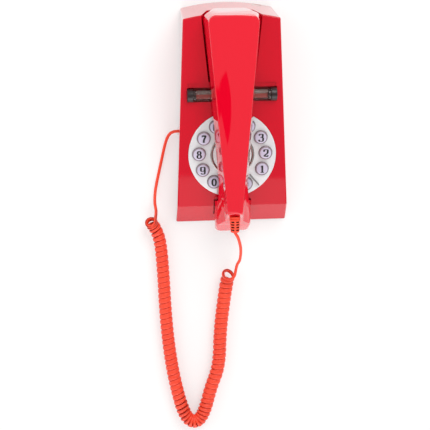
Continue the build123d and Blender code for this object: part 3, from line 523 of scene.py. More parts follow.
# curly cord: its middle line, the turns wound round it and the two straight ends
cordSet = dict(
    wide=5.4, mostWide=6.2, plainWide=3.2, openWide=3.2, thick=3.0, waist=0.1, waistNarrow=3,
    solidDiameter=3.0, turns=75, perTurn=16, sides=16, middleSteps=1200, curlSteps=15,
    outerLeft=12.8, outerRight=14.2, lay=7.4, endTurns=1.0, endShrink=0.96, closeness=1.03, leastRoom=0.35,
    bendOpening=-0.4, bendReach=19.0, endOpening=1.6, endReach=12.0, openRun=26.0,
    straightRun=7.5, plugRun=5.4, taperRun=14.0, creaseShadeFrom=0.9, creaseShadeWidens=0.8,
)
lay = cordSet["lay"]
coilRoute = [
    (-4.2, -156.7, 21.5), (-4.4, -157.8, 14.2), (-5.6, -163.7, 9.2), (-8.0, -176.2, lay),
    (-14.2, -216.0, lay), (-15.8, -254.0, lay), (-25.6, -277.0, lay), (-31.0, -298.2, lay),
    (-38.8, -311.4, lay), (-48.5, -309.9, lay), (-55.0, -296.2, lay), (-59.5, -278.2, lay),
    (-65.0, -248.2, lay), (-69.0, -205.2, lay), (-70.5, -148.2, lay), (-72.5, -122.2, lay),
    (-76.8, -110.2, 8.4), (-80.6, -104.4, 11.0), (-81.6, -102.4, 15.4),
]


def evenLine(line, count):  # the same line with evenly spaced points
    lengths = [0.0]
    for a, b in zip(line, line[1:]):
        lengths.append(lengths[-1] + (b - a).length)
    spaced, index = [], 0
    for step in range(count + 1):
        target = lengths[-1] * step / count
        while index < len(line) - 2 and lengths[index + 1] < target:
            index += 1
        share = (target - lengths[index]) / max(lengths[index + 1] - lengths[index], tiny)
        spaced.append(line[index].lerp(line[index + 1], min(1.0, share)))
    return spaced, lengths[-1]


def coilFrames(line):  # crosswise directions that never twist about the middle line
    frames, across = [], Vector((1, 0, 0))
    for index, point in enumerate(line):
        along = lineAlong(line, index)
        across = (across - along * across.dot(along)).normalized()
        frames.append((point, along, across, along.cross(across)))
    return frames


def turnShares(length, bend, steps):  # turns up to each step: closer in the bend, open at the right end
    shares = [0.0]
    for index in range(steps):
        fromBend = (index / steps - bend / steps) * length / cordSet["bendReach"]
        fromEnd = index / steps * length / cordSet["endReach"]
        opening = 1 + cordSet["bendOpening"] * math.exp(-fromBend**2)
        shares.append(shares[-1] + 1 / (opening + cordSet["endOpening"] * math.exp(-fromEnd**2)))
    return shares


def curlAt(frames, index):  # how sharply the middle line bends, and which way
    near = frames[max(index - cordSet["curlSteps"], 0)]
    far = frames[min(index + cordSet["curlSteps"], len(frames) - 1)]
    return (far[1] - near[1]) / max((far[0] - near[0]).length, tiny)


def windCoil():
    middle, length = evenLine(nurbsLine(coilRoute), cordSet["middleSteps"])
    frames, steps = coilFrames(middle), len(middle) - 1
    bend = min(range(len(middle)), key=lambda i: middle[i].y)
    shares = turnShares(length, bend, steps)
    lastAlong, lastAcross, lastUp = frames[-1][1:]
    leave = Vector((1, 0, 0)) - lastAlong * lastAlong.x
    whole = 2 * math.pi * cordSet["turns"] + math.atan2(leave.dot(lastUp), leave.dot(lastAcross))
    count = round(whole / (2 * math.pi) * cordSet["perTurn"])
    swell = 1 / math.cos(math.pi / cordSet["perTurn"])  # the spline runs just inside its points
    wound, index = [], 0
    for step in range(count + 1):
        phase = whole * step / count
        target = phase / whole * shares[-1]
        while index < len(shares) - 2 and shares[index + 1] < target:
            index += 1
        gain = shares[index + 1] - shares[index]
        part = min(1.0, (target - shares[index]) / gain)
        point, along, across, up = (a.lerp(b, part) for a, b in zip(frames[index], frames[index + 1]))
        place = (index + part) / steps
        outer = cordSet["outerRight"] + (cordSet["outerLeft"] - cordSet["outerRight"]) * place
        fromLast = min(1.0, (whole - phase) / (2 * math.pi * cordSet["endTurns"]))
        outer *= cordSet["endShrink"] + (1 - cordSet["endShrink"]) * fromLast
        radius = (outer - cordSet["thick"]) / 2
        out = across * math.cos(phase) + up * math.sin(phase)
        # each turn lies flat where it has room and tips up like a tile on the inside of a bend
        pitch = length / steps * 2 * math.pi / (whole / shares[-1] * gain)
        room = pitch * (1 - radius * out.dot(curlAt(frames, index))) * cordSet["closeness"]
        tip = math.acos(max(cordSet["leastRoom"], min(1.0, room / cordSet["wide"])))
        wide = along.normalized() * math.cos(tip) + out * math.sin(tip)
        opened = min(1.0, place * length / cordSet["openRun"])
        most = cordSet["openWide"] + (cordSet["mostWide"] - cordSet["openWide"]) * opened
        wound.append((point + out * radius * swell, wide, min(most, max(room, cordSet["plainWide"]))))
    return wound, wound[round(bend / steps * count)][0]


wound, bendPoint = windCoil()
startDir = (wound[1][0] - wound[0][0]).normalized()
endDir = (wound[-1][0] - wound[-2][0]).normalized()
coilStart = wound[0][0] - startDir * cordSet["solidDiameter"]
coilEnd = wound[-1][0] + endDir * cordSet["solidDiameter"]
rightRoute = [
    reliefTip - reliefDir * 2.0, reliefTip + reliefDir * 1.5, (2.6, -116.1, 47.6), (4.7, -122.4, 44.6),
    (6.1, -128.8, 41.0), (6.3, -135.2, 37.2), (5.5, -142.7, 33.0),
    coilStart - startDir * cordSet["straightRun"], coilStart,
]
plugLow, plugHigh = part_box("cord_plug")
plugExit = Vector((plugLow.x, (plugLow.y + plugHigh.y) / 2, (plugLow.z + plugHigh.z) / 2)) / mm
leftRoute = [
    coilEnd, coilEnd + endDir * cordSet["straightRun"], (-77.0, -86.0, 9.0), (-76.4, -73.2, 2.0),
    (-72.2, -55.7, 1.7), (-68.0, -38.7, 2.0), (-64.6, -24.7, 4.2), (-61.4, -16.8, 7.0),
    plugExit - Vector((cordSet["plugRun"], 0, 0)), plugExit + Vector((1.0, 0, 0)),
]


def cordTube(name, line, hints):  # a flat wire, its wide side turned to the hinted direction
    rings, creaseShades, sides = [], [], cordSet["sides"]
    creaseShadeFrom = cordSet["creaseShadeFrom"]
    for index, point in enumerate(line):
        along = lineAlong(line, index)
        hint, across = hints[index]
        wide = (hint - along * hint.dot(along)).normalized()
        thin = along.cross(wide)
        curled = min(1.0, max(0.0, (across - cordSet["plainWide"]) / cordSet["creaseShadeWidens"]))
        ring = []
        for side in range(sides):
            turn = 2 * math.pi * side / sides
            u, v = math.cos(turn), math.sin(turn)
            waist = cordSet["waist"] * max(0.0, 1 - abs(u) * cordSet["waistNarrow"])
            depth = cordSet["thick"] / 2 * v - math.copysign(waist, v)
            ring.append(point + wide * (across / 2 * u) + thin * depth)
            # painted shade: the crease value darkens the wire's flanks where the turns press together
            creaseShades.append(curled * max(0.0, abs(u) - creaseShadeFrom) / (1 - creaseShadeFrom))
        rings.append(ring)
    mesh = ringLoft(name, rings)
    mesh.attributes.new("creaseShade", "FLOAT", "POINT").data.foreach_set("value", creaseShades)
    return makePiece(name, mesh, cordVinyl, 60)


def plainHints(line, wide, width):  # along a straight end without twisting, narrowing to a near round wire
    hints, gone = [], 0.0
    for index, point in enumerate(line):
        along = lineAlong(line, index)
        wide = (wide - along * wide.dot(along)).normalized()
        gone += (point - line[index - 1]).length if index else 0.0
        share = min(1.0, gone / cordSet["taperRun"])
        hints.append((wide, width + (cordSet["plainWide"] - width) * share))
    return hints


def nearestStep(points, target):
    return min(range(len(points)), key=lambda i: (points[i] - target).length)


def makeCord():
    # one spline holds the right end, the turns and the left end
    spline = nurbsLine(rightRoute + [turn[0] for turn in wound] + leftRoute, 2)
    first, last = nearestStep(spline, wound[0][0]), nearestStep(spline, wound[-1][0])
    middleStep = nearestStep(spline, bendPoint)
    hints = plainHints(spline[:first][::-1], *wound[0][1:])[::-1]
    turns = last - first
    for index in range(turns):
        hints.append(wound[min(round(index / turns * (len(wound) - 1)), len(wound) - 1)][1:])
    hints += plainHints(spline[last:], *wound[-1][1:])
    rightLine, leftLine = spline[:middleStep + 1], spline[middleStep:]
    right = cordTube("cordRight", rightLine, hints[:middleStep + 1])
    left = cordTube("cordLeft", leftLine, hints[middleStep:])
    return right, left, rightLine, leftLine


def lineLength(line):
    return sum((b - a).length for a, b in zip(line, line[1:])) * mm


cordRight, cordLeft, rightLine, leftLine = makeCord()
bendPoint * mm
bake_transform(cordRight)
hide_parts("cord_right", "cord_coil")
ridesAs(cordLeft, "base", "cord_vinyl", "cord_left")
rightLine[0] * mm
lineLength(rightLine)
[p * mm for p in rightLine]
leftLine[-1] * mm
lineLength(leftLine)
[p * mm for p in leftLine]
print("cord wound:", round(lineLength(rightLine) + lineLength(leftLine), 3), "m")

# handset: a tapering grip with a crowned top, an earpiece cup and a mouthpiece block
gripSet = dict(
    frontY=-93.8, frontZ=61.0, frontHalf=7.1, topSlope=10.45, topTaper=5.2,
    shoulderWide=[(-93.8, 2.4), (-66.0, 0.9), (-54.0, 0.6)],
    shoulderDrop=[(-93.8, 17.0), (-66.0, 15.0), (-54.0, 4.0)],
    gap=11.3, rearY=91.0, rearLean=14.0, frontLean=22.8,
    under=[(-119.44, 17.2), (-104.0, 17.0), (-64.0, 14.4), (8.8, 20.0), (117.1, 28.0)],
    crown=1.5, crownSteps=12, radii=(0.9, 1.0, 1.0), blendParts=(0.0, 0.35, 0.7, 1.0),
    kneeY=[-66.0, -64.0], firstY=-60.0, stepY=6.0, rings=21,
    rearCorner=9.0, rearRim=1.0, frontCorner=0.9, frontRim=0.9, frontBlend=6.0, rearBlend=1.0, blendRun=20.0,
)
cupSet = dict(
    frontY=37.3, channelY=32.8, channelHalf=22.6, spread=6.4 / 62, sideGap=1.3, depth=24.7, flare=16.7,
    inset=0.15, neck=4.0, neckInset=3.0, radii=(0.5, 0.8, 1.6, 2.4), corner=3.0, rim=1.5,
    firstGap=6.0, stepY=5.0, rings=6,
)
blockSet = dict(
    half=17.8, knee=6.0, rearY=-82.1, floorZ=12.6, inset=0.1, neck=4.0, neckInset=5.0,
    radii=(0.5, 0.3, 2.0, 2.6), corner=4.5, rim=1.6, cornerFade=0.85, rearRound=0.6,
)
endSteps, endSunk, midHeight = 6, 0.15, 40.0  # of the rounded ends


def gripTop(y):
    return gripSet["frontZ"] + (y - gripSet["frontY"]) * math.tan(math.radians(gripSet["topSlope"]))


def gripOutline(y):
    half = gripSet["frontHalf"] + (y - gripSet["frontY"]) * math.tan(math.radians(gripSet["topTaper"]))
    crown, under = gripSet["crown"], table(gripSet["under"], y)
    top, low = gripTop(y), faceZ(y) + gripSet["gap"]
    wide, drop = table(gripSet["shoulderWide"], y), table(gripSet["shoulderDrop"], y)
    right = [(half, top - crown), (half + wide, top - drop), (under, low)]
    outline = mirrored(right, gripSet["radii"])
    left, first = outline[-1], outline[0]
    arch = []
    for step in range(1, gripSet["crownSteps"]):  # crowned top from the left edge over to the right one
        share = step / gripSet["crownSteps"]
        point = left.lerp(first, share)
        arch.append(Vector((point.x, point.y + crown * (1 - (2 * share - 1) ** 2))))
    return outline + arch


def cupOutline(y):
    beam = table(gripSet["under"], y) - cupSet["inset"]
    low, face = faceZ(y) + gripSet["gap"], faceZ(y)
    belly = cupSet["channelHalf"] + (y - cupSet["channelY"]) * cupSet["spread"] - cupSet["sideGap"]
    floor = belly - cupSet["depth"] * math.tan(math.radians(cupSet["flare"]))
    neck = (beam - cupSet["neckInset"], low + cupSet["neck"])
    return mirrored([neck, (beam, low), (belly, face), (floor, face - cupSet["depth"])], cupSet["radii"])


def blockOutline(y):
    beam, low = table(gripSet["under"], y) - blockSet["inset"], faceZ(y) + gripSet["gap"]
    neck = (beam - blockSet["neckInset"], low + blockSet["neck"])
    side, floor = (blockSet["half"], low - blockSet["knee"]), (blockSet["half"], blockSet["floorZ"])
    return mirrored([neck, (beam, low), side, floor], blockSet["radii"])


rearSlope = math.tan(math.radians(gripSet["rearLean"]))
frontSlope = math.tan(math.radians(gripSet["frontLean"]))
endPlanes = {  # where an end face lies at a height
    "rear": lambda z: gripSet["rearY"] + (gripTop(gripSet["rearY"]) - z) * rearSlope,
    "front": lambda z: gripSet["frontY"] - (gripSet["frontZ"] - z) * frontSlope,
    "cup": lambda z: cupSet["frontY"],
    "block": lambda z: blockSet["rearY"],
}


# rings that round an end off into its flat face
def endRings(outlineAt, plane, inward, corner, rim, deep=0.0, fade=0.0):
    rings = []
    for step in range(endSteps + 1):
        turn = math.pi / 2 * step / endSteps
        depth = max(corner, rim) * (1 - math.cos(turn))
        cutX = corner - math.sqrt(max(0.0, corner**2 - max(0.0, corner - depth) ** 2))
        cutZ = rim - math.sqrt(max(0.0, rim**2 - max(0.0, rim - depth) ** 2))
        rings.append(slantRing(outlineAt, plane, inward * (depth + deep), cutX, cutZ, fade))
    return rings


# the outline on a leaning plane, drawn in by the cuts; fade keeps the upper corners sharper
def slantRing(outlineAt, plane, shift=0.0, cutX=0.0, cutZ=0.0, fade=0.0):
    here = [plane(p.y) + shift for p in outlineAt(plane(midHeight) + shift)]
    for repeat in range(3):  # each point settles where its own outline meets the plane
        here = [plane(outlineAt(y)[index].y) + shift for index, y in enumerate(here)]
    ring = [(outlineAt(y)[index], y) for index, y in enumerate(here)]
    wide = max(abs(p.x) for p, y in ring)
    low, high = min(p.y for p, y in ring), max(p.y for p, y in ring)
    middle, tall = (low + high) / 2, (high - low) / 2
    squeeze = [1 - cutX * (1 - fade * (p.y - low) / (high - low)) / wide for p, y in ring]
    flatten = (tall - cutZ) / tall
    return [Vector((p.x * by, y, middle + (p.y - middle) * flatten)) for (p, y), by in zip(ring, squeeze)]


def evenPlaces(first, step, count):
    return [first + step * index for index in range(count)]


def straightRings(outlineAt, stations):
    return [[Vector((p.x, y, p.y)) for p in outlineAt(y)] for y in stations]


def frontPlane(part):  # stands up straighter the further in it lies, as does the next
    place = gripSet["frontY"] + gripSet["frontBlend"] + part * gripSet["blendRun"]
    return lambda z: place - (gripSet["frontZ"] - z) * frontSlope * (1 - part)


def rearPlane(part):
    place = gripSet["rearY"] - gripSet["rearCorner"] - gripSet["rearBlend"] - part * gripSet["blendRun"]
    return lambda z: place + (gripTop(gripSet["rearY"]) - z) * rearSlope * (1 - part)


def gripForm():
    front = endRings(gripOutline, endPlanes["front"], 1, gripSet["frontCorner"], gripSet["frontRim"])
    blendIn = [slantRing(gripOutline, frontPlane(part)) for part in gripSet["blendParts"]]
    stations = gripSet["kneeY"] + evenPlaces(gripSet["firstY"], gripSet["stepY"], gripSet["rings"])
    blendOut = [slantRing(gripOutline, rearPlane(part)) for part in gripSet["blendParts"][-2::-1]]
    rear = endRings(gripOutline, endPlanes["rear"], -1, gripSet["rearCorner"], gripSet["rearRim"])
    middle = straightRings(gripOutline, stations)
    return ringLoft("gripForm", front + blendIn + middle + blendOut + rear[::-1])


def cupForm():
    front = endRings(cupOutline, endPlanes["cup"], 1, cupSet["corner"], cupSet["rim"])
    rear = endRings(cupOutline, endPlanes["rear"], -1, gripSet["rearCorner"], gripSet["rearRim"], endSunk)
    stations = evenPlaces(cupSet["frontY"] + cupSet["firstGap"], cupSet["stepY"], cupSet["rings"])
    return ringLoft("cupForm", front + straightRings(cupOutline, stations) + rear[::-1])


def blockForm():
    corner, rim, fade = blockSet["corner"], blockSet["rim"], blockSet["cornerFade"]
    rear = endRings(blockOutline, endPlanes["block"], -1, blockSet["rearRound"], blockSet["rearRound"])
    front = endRings(blockOutline, endPlanes["front"], 1, corner, rim, endSunk, fade)
    return ringLoft("blockForm", front + rear[::-1])


soundHoles = dict(
    earY=74.8, earRing=7.0, earCount=6, earRadius=1.1,
    mouthY=-94.2, mouthPitch=3.6, mouthCount=5, mouthRadius=0.8, deep=4.0,
)


def holePattern(radius):
    deep = soundHoles["deep"]
    return lathe("holePattern", [(0, -deep), (radius, -deep), (radius, deep), (0, deep)], 16)


def soundHoleCutters():
    earFloor = faceZ(soundHoles["earY"]) - cupSet["depth"]
    ear = [(0, soundHoles["earY"], earFloor)]
    for step in range(soundHoles["earCount"]):
        turn = 2 * math.pi * step / soundHoles["earCount"]
        y = soundHoles["earY"] + soundHoles["earRing"] * math.sin(turn)
        ear.append((soundHoles["earRing"] * math.cos(turn), y, faceZ(y) - cupSet["depth"]))
    spread = (soundHoles["mouthCount"] - 1) / 2
    mouth = [((step - spread) * soundHoles["mouthPitch"], soundHoles["mouthY"], blockSet["floorZ"])
             for step in range(soundHoles["mouthCount"])]
    return [repeatAt("earHoles", ear, holePattern(soundHoles["earRadius"]), (faceAngle, 0, 0), gripRedPaintedLighter),
            repeatAt("mouthHoles", mouth, holePattern(soundHoles["mouthRadius"]), (0, 0, 0), gripRedPaintedLighter)]


def partHandset(whole, seam=0.08, rise=17.3):  # cut into cover and inner half along the seam
    halves = []
    for side, name in ((1, "handsetCover"), (-1, "handsetInner")):
        work = bmesh.new()
        work.from_mesh(whole.data)
        spot = (Vector((0, faceEdgeY, faceLines["edgeZ"] + rise)) + faceOut * seam * side) * mm
        everything = work.verts[:] + work.edges[:] + work.faces[:]
        cut = bmesh.ops.bisect_plane(work, geom=everything, dist=cutGap, plane_co=spot, plane_no=faceOut,
                                     clear_inner=side > 0, clear_outer=side < 0)
        edges = [e for e in cut["geom_cut"] if isinstance(e, bmesh.types.BMEdge)]
        bmesh.ops.contextual_create(work, geom=edges)
        bmesh.ops.recalc_face_normals(work, faces=work.faces)
        mesh = bpy.data.meshes.new(name)
        work.to_mesh(mesh)
        work.free()
        halves.append(makePiece(name, mesh, gripRedPaintedLighter, 28))
    dropPiece(whole)
    return halves


handsetForm = makePiece("handsetForm", gripForm())
joinForms(handsetForm, [makePiece("cupForm", cupForm()), makePiece("blockForm", blockForm())], "UNION")
joinForms(handsetForm, soundHoleCutters(), "DIFFERENCE")
handsetCover, handsetInner = partHandset(handsetForm)
ridesAs(handsetCover, "handset", "red_plastic", "handset_cover")
ridesAs(handsetInner, "handset", "red_plastic", "handset_inner")
print("handset shaped:", len(handsetCover.data.polygons), len(handsetInner.data.polygons), "faces")

# keys: domed tops in dark rims, each with its figure
keySet = dict(
    upFace=52.6, ring=32.5, start=-26.8, step=29.2, radius=6.6, flange=7.4, top=5.6, plate=0.8, rise=2.6,
    names=["1", "2", "3", "4", "5", "6", "7", "8", "9", "0", "star", "hash"],
    figureTall=7.3, figureHalf=0.35, ink=0.10, thick=0.25, thin=0.09, thinnest=0.025, swell=1.3,
    straightSteps=8, curvedSteps=10,
)
keyTop = keySet["plate"] + keySet["rise"]
keyRimProfile = [
    (0, -2.2), (keySet["flange"], -2.2), (keySet["flange"], -1.4), (keySet["radius"], -1.4),
    (keySet["radius"], keyTop - 1.0), (6.45, keyTop - 0.6), (6.1, keyTop - 0.42), (5.75, keyTop - 0.5),
    (keySet["top"], keyTop - 0.8), (0, keyTop - 0.8),
]
keyTopProfile = [
    (0, keyTop - 0.82), (5.55, keyTop - 0.82), (5.5, keyTop - 0.5), (5.2, keyTop - 0.28),
    (4.4, keyTop - 0.14), (2.6, keyTop - 0.04), (0, keyTop),
]

figures = {  # strokes as control points in a box 0.7 wide and 1 tall, with a share of the full weight
    "1": [([(0.38, 0.0), (0.38, 1.0)], 1), ([(0.15, 0.80), (0.3, 0.86), (0.38, 0.98)], 0.3),
          ([(0.14, 0.03), (0.62, 0.03)], 1)],
    "2": [([(0.13, 0.72), (0.12, 0.98), (0.36, 0.98), (0.63, 0.98), (0.62, 0.70), (0.56, 0.46), (0.3, 0.3),
            (0.1, 0.07)], 1),
          ([(0.10, 0.07), (0.28, 0.16), (0.45, 0.02), (0.62, 0.08), (0.64, 0.22)], 1)],
    "3": [([(0.13, 0.80), (0.17, 0.98), (0.36, 0.98), (0.59, 0.98), (0.58, 0.76), (0.56, 0.55),
            (0.28, 0.55)], 1),
          ([(0.28, 0.55), (0.64, 0.55), (0.63, 0.27), (0.62, 0.02), (0.34, 0.02), (0.13, 0.02),
            (0.10, 0.24)], 1)],
    "4": [([(0.46, 0.98), (0.28, 0.6), (0.06, 0.3)], 0.3), ([(0.04, 0.28), (0.68, 0.28)], 1),
          ([(0.48, 0.98), (0.48, 0.02)], 1), ([(0.32, 0.03), (0.64, 0.03)], 1)],
    "5": [([(0.18, 0.94), (0.4, 0.9), (0.6, 0.97)], 1), ([(0.18, 0.96), (0.15, 0.54)], 0.35),
          ([(0.15, 0.55), (0.28, 0.66), (0.62, 0.66), (0.63, 0.33), (0.62, 0.02), (0.32, 0.02), (0.13, 0.02),
            (0.10, 0.22)], 1)],
    "6": [([(0.56, 0.84), (0.5, 0.98), (0.34, 0.98), (0.10, 0.94), (0.10, 0.40), (0.10, 0.02), (0.36, 0.02),
            (0.62, 0.03), (0.62, 0.31), (0.61, 0.58), (0.37, 0.58), (0.2, 0.57), (0.15, 0.42)], 1)],
    "7": [([(0.10, 0.90), (0.3, 0.96), (0.46, 0.86), (0.64, 0.94)], 2.2),
          ([(0.63, 0.94), (0.42, 0.55), (0.32, 0.32), (0.32, 0.0)], 1), ([(0.10, 0.97), (0.10, 0.74)], 0.35)],
    "star": [([(0.35, 0.38), (0.35, 0.86)], 0.45), ([(0.15, 0.5), (0.55, 0.74)], 1.6),
             ([(0.15, 0.74), (0.55, 0.5)], 1.6)],
    "hash": [([(0.22, 0.12), (0.30, 0.88)], 0.35), ([(0.42, 0.12), (0.50, 0.88)], 0.35),
             ([(0.08, 0.36), (0.62, 0.36)], 1.4), ([(0.10, 0.64), (0.64, 0.64)], 1.4)],
}


def ovalStroke(x, y, wide, tall, steps=12, upright=0.15):  # a closed loop of control points
    turns = [math.pi * 2 * step / steps for step in range(steps + 1)]
    loop = [(x + wide * math.cos(t), y + tall * math.sin(t)) for t in turns]
    after, before = (x + wide, y + tall * upright), (x + wide, y - tall * upright)
    return [loop[0], after] + loop[1:-1] + [before, loop[-1]]


figures["0"] = [(ovalStroke(0.35, 0.5, 0.25, 0.5), 1)]
figures["8"] = [(ovalStroke(0.35, 0.76, 0.2, 0.23), 1), (ovalStroke(0.35, 0.26, 0.25, 0.26), 1)]
figures["9"] = [([(0.7 - x, 1 - y) for x, y in points], weight) for points, weight in figures["6"]]


def domeHeight(radius):
    for (r0, h0), (r1, h1) in zip(keyTopProfile[2:], keyTopProfile[3:]):
        if radius >= r1:
            return h0 + (h1 - h0) * (r0 - radius) / (r0 - r1)
    return keyTop


def strokeLine(stroke):  # a straight stroke is divided evenly, any other becomes a smooth line
    ends, steps = [Vector((x, y, 0)) for x, y in stroke], keySet["straightSteps"]
    if len(ends) > 2:
        return nurbsLine(ends, keySet["curvedSteps"])
    return [ends[0].lerp(ends[1], step / steps) for step in range(steps + 1)]


def strokeHalf(along, weight):  # upright strokes are thick and level ones thin
    thin = keySet["thin"]
    half = (thin + (keySet["thick"] * weight - thin) * abs(along.y) ** keySet["swell"]) / 2
    if abs(along.y) < 0.5:
        half = max(half, thin * weight / 2)
    return max(half, keySet["thinnest"])


def figureMesh(name):
    points, faces = [], []
    tall, ink = keySet["figureTall"], keySet["ink"]
    for stroke, weight in figures[name]:
        line = strokeLine(stroke)
        first = len(points)
        for index, point in enumerate(line):
            along = lineAlong(line, index)
            side = Vector((-along.y, along.x, 0)) * strokeHalf(along, weight)
            for place in (point + side, point - side):
                x, y = (place.x - keySet["figureHalf"]) * tall, (place.y - 0.5) * tall
                lift = domeHeight(math.hypot(x, y))
                points += [(x, y, lift + ink), (x, y, lift - ink)]
        last = len(points) - 4
        for base in range(first, last, 4):
            after = base + 4
            faces += [[base, base + 2, after + 2, after], [base + 1, after + 1, after + 3, base + 3],
                      [base, after, after + 1, base + 1], [base + 2, base + 3, after + 3, after + 2]]
        faces += [[first, first + 1, first + 3, first + 2], [last, last + 2, last + 3, last + 1]]
    mesh = makeMesh("figure_" + name, points, faces)
    fixNormals(mesh)
    return mesh


def makeKeys():
    for number, name in enumerate(keySet["names"]):
        turn = math.radians(keySet["start"] + keySet["step"] * number)
        x, y = keySet["ring"] * math.cos(turn), keySet["ring"] * math.sin(turn)
        place, body = [onFace(x, keySet["upFace"] + y, 0)], "button_" + name
        parts = [("keyRim_", lathe("keyRim", keyRimProfile), keyRimPlastic, [body]),
                 ("keyTop_", lathe("keyTop", keyTopProfile), keyTopPlastic, []),
                 ("figure_", figureMesh(name), printInk, [])]
        for start, mesh, finish, replaced in parts:
            piece = repeatAt(start + name, place, mesh, (faceAngle, 0, 0), finish)
            smoothOver(piece.data, 40)
            ridesAs(piece, body, "key_plastic", *replaced)


makeKeys()
print("keys made:", len(keySet["names"]))

# raised ring round the dial's centre
ringSet = dict(outer=21.5, inner=18.8, seat=0.8, tall=1.0)


def makeCentreRing():
    outer, inner, seat, tall = (ringSet[key] for key in ("outer", "inner", "seat", "tall"))
    wide = outer - inner
    loop = [
        (outer, seat), (outer, seat + tall * 0.5), (outer - 0.3, seat + tall * 0.85),
        (outer - wide * 0.35, seat + tall), (outer - wide * 0.65, seat + tall * 0.9),
        (outer - wide + 0.3, seat + tall * 0.6), (outer - wide, seat), (outer, seat),
    ]
    mesh = lathe("centreRing", loop, 96)
    piece = repeatAt("centreRing", [onFace(0, keySet["upFace"], 0)], mesh, (faceAngle, 0, 0), ringChrome)
    smoothOver(piece.data, 50)
    ridesAs(piece, "base", "ring_metal", "centre_ring")


makeCentreRing()

# number window's end caps
capSet = dict(upFace=112.0, lift=0.5, radius=6.3, half=43.0, long=5.5, soft=0.7, spigot=4.7, spigotLong=2.6)


def makeCaps():
    radius, long, soft, spigot = (capSet[key] for key in ("radius", "long", "soft", "spigot"))
    inside = -capSet["spigotLong"]
    profile = [
        (0, inside), (spigot, inside), (spigot, 0), (radius - 0.2, 0), (radius, 0.2),
        (radius, long - soft), (radius - soft * 0.3, long - soft * 0.3), (radius - soft, long),
        (radius - 2.0, long), (radius - 2.3, long - 0.4), (0, long - 0.4),
    ]
    for side, label in ((1, "Right"), (-1, "Left")):
        place = [onFace(side * (capSet["half"] - long), capSet["upFace"], capSet["lift"])]
        mesh = lathe("windowCap", profile, 40)
        piece = repeatAt("windowCap" + label, place, mesh, (0, side * math.pi / 2, 0), capSmoke)
        smoothOver(piece.data, 40)
        ridesAs(piece, "base", "smoked_dark", "window_caps")


makeCaps()

# pale mouth of the line socket, lining the opening in the rear wall
mouthSet = dict(x=30.0, half=4.8, low=5.7, tall=6.6, wall=0.5, deep=4.0, sunk=0.1, beside=5.3, behind=200.0)


def makeSocketMouth():
    wide, low, wall = mouthSet["half"], mouthSet["low"], mouthSet["wall"]
    high = low + mouthSet["tall"]
    housing = nodes["top_housing"]

    def wallY(side, z):  # where the rear wall lies just beside the opening
        start = Vector((mouthSet["x"] + side * mouthSet["beside"], mouthSet["behind"], z)) * mm
        return housing.ray_cast(start, Vector((0, -1, 0)))[1].y / mm - mouthSet["sunk"]

    def loop(inset, deep):
        corners = [(-1, low + inset), (1, low + inset), (1, high - inset), (-1, high - inset)]
        return [(mouthSet["x"] + side * (wide - inset), wallY(side, z) - deep, z) for side, z in corners]

    loops = loop(0, 0) + loop(wall, 0) + loop(wall, mouthSet["deep"]) + loop(0, mouthSet["deep"])
    faces = []
    for ring in range(4):
        here, after = ring * 4, (ring + 1) % 4 * 4
        for step in range(4):
            beside = (step + 1) % 4
            faces.append([here + step, here + beside, after + beside, after + step])
    mesh = makeMesh("socketMouth", loops, faces)
    fixNormals(mesh)
    ridesAs(makePiece("socketMouth", mesh, whitePlastic), "base", "white_plastic")


makeSocketMouth()

# screws with a cross recess, under the base and in the handset
screwSet = dict(
    base=[(47.0, -85.2), (-47.0, -85.2), (36.5, 78.8), (-36.5, 78.8)],
    baseZ=1.5, baseRadius=2.8, baseTall=1.2, gripY=(-1.2, -57.2), gripRadius=2.2, gripTall=1.3, gripSunk=1.4,
    soft=0.35, armShare=0.65, slotHalf=0.25, slotDeep=0.6,
)


def screwMesh(radius, tall):  # head facing down, its cross recess cut by one form
    soft = screwSet["soft"]
    profile = [(0, tall), (radius, tall), (radius, soft), (radius - soft, 0), (0, 0)]
    head = makePiece("screwHead", lathe("screwHead", profile, 32))
    arm, half, deep = radius * screwSet["armShare"], screwSet["slotHalf"], screwSet["slotDeep"]
    outline = [(arm, -half), (arm, half), (half, half)]
    for quarter in range(3):
        outline += [(-y, x) for x, y in outline[-3:]]
    rings = [[Vector((x, y, z)) for x, y in outline] for z in (-deep, deep)]
    joinForms(head, [makePiece("screwCross", ringLoft("screwCross", rings))], "DIFFERENCE")
    mesh = head.data
    dropPiece(head)
    return mesh


def makeScrews():
    under = [(x, y, screwSet["baseZ"]) for x, y in screwSet["base"]]
    mesh = screwMesh(screwSet["baseRadius"], screwSet["baseTall"])
    piece = repeatAt("baseScrews", under, mesh, (0, 0, 0), screwSteel)
    ridesAs(piece, "base", "screw_steel", "base_screws")
    grip = [(0, y, faceZ(y) + gripSet["gap"] + screwSet["gripSunk"]) for y in screwSet["gripY"]]
    mesh = screwMesh(screwSet["gripRadius"], screwSet["gripTall"])
    piece = repeatAt("handsetScrews", grip, mesh, (0, 0, 0), screwSteel)
    ridesAs(piece, "handset", "screw_steel", "handset_screws")


makeScrews()
print("rings, caps and screws made")

# smooth shading for the CAD pieces that stay
for nodeName in nodeFinishes:
    smoothOver(nodes[nodeName].data, 25)

# floor, soft light and pale surroundings
lightSet = dict(
    key=(0.5, 1.0, 1.3), keySize=1.0, keyWatts=12.5, keyColour=(1.0, 0.985, 0.96),
    side=(-1.4, 0.1, 1.0), sideSize=1.2, sideWatts=4.0, sideColour=(1.0, 0.99, 0.98), aim=(0, -0.05, 0.03),
    overhead=0.38, rear=0.45, rearFrom=-0.1, rearTo=0.35, front=1.08, frontFrom=-0.506, frontTo=-0.509,
    low=1.4, lowFrom=-0.62, lowTo=-0.75,
    spot=(-0.1208, -0.3475), spotHalf=(0.115, 0.0375), spotLean=1.79, spotOut=1.06, spotIn=0.94,
)
floorSet = dict(half=3000.0, z=-0.2, shade=0.94, glow=1.04, glowShare=0.47, glowColour=(1, 0.995, 0.99, 1))


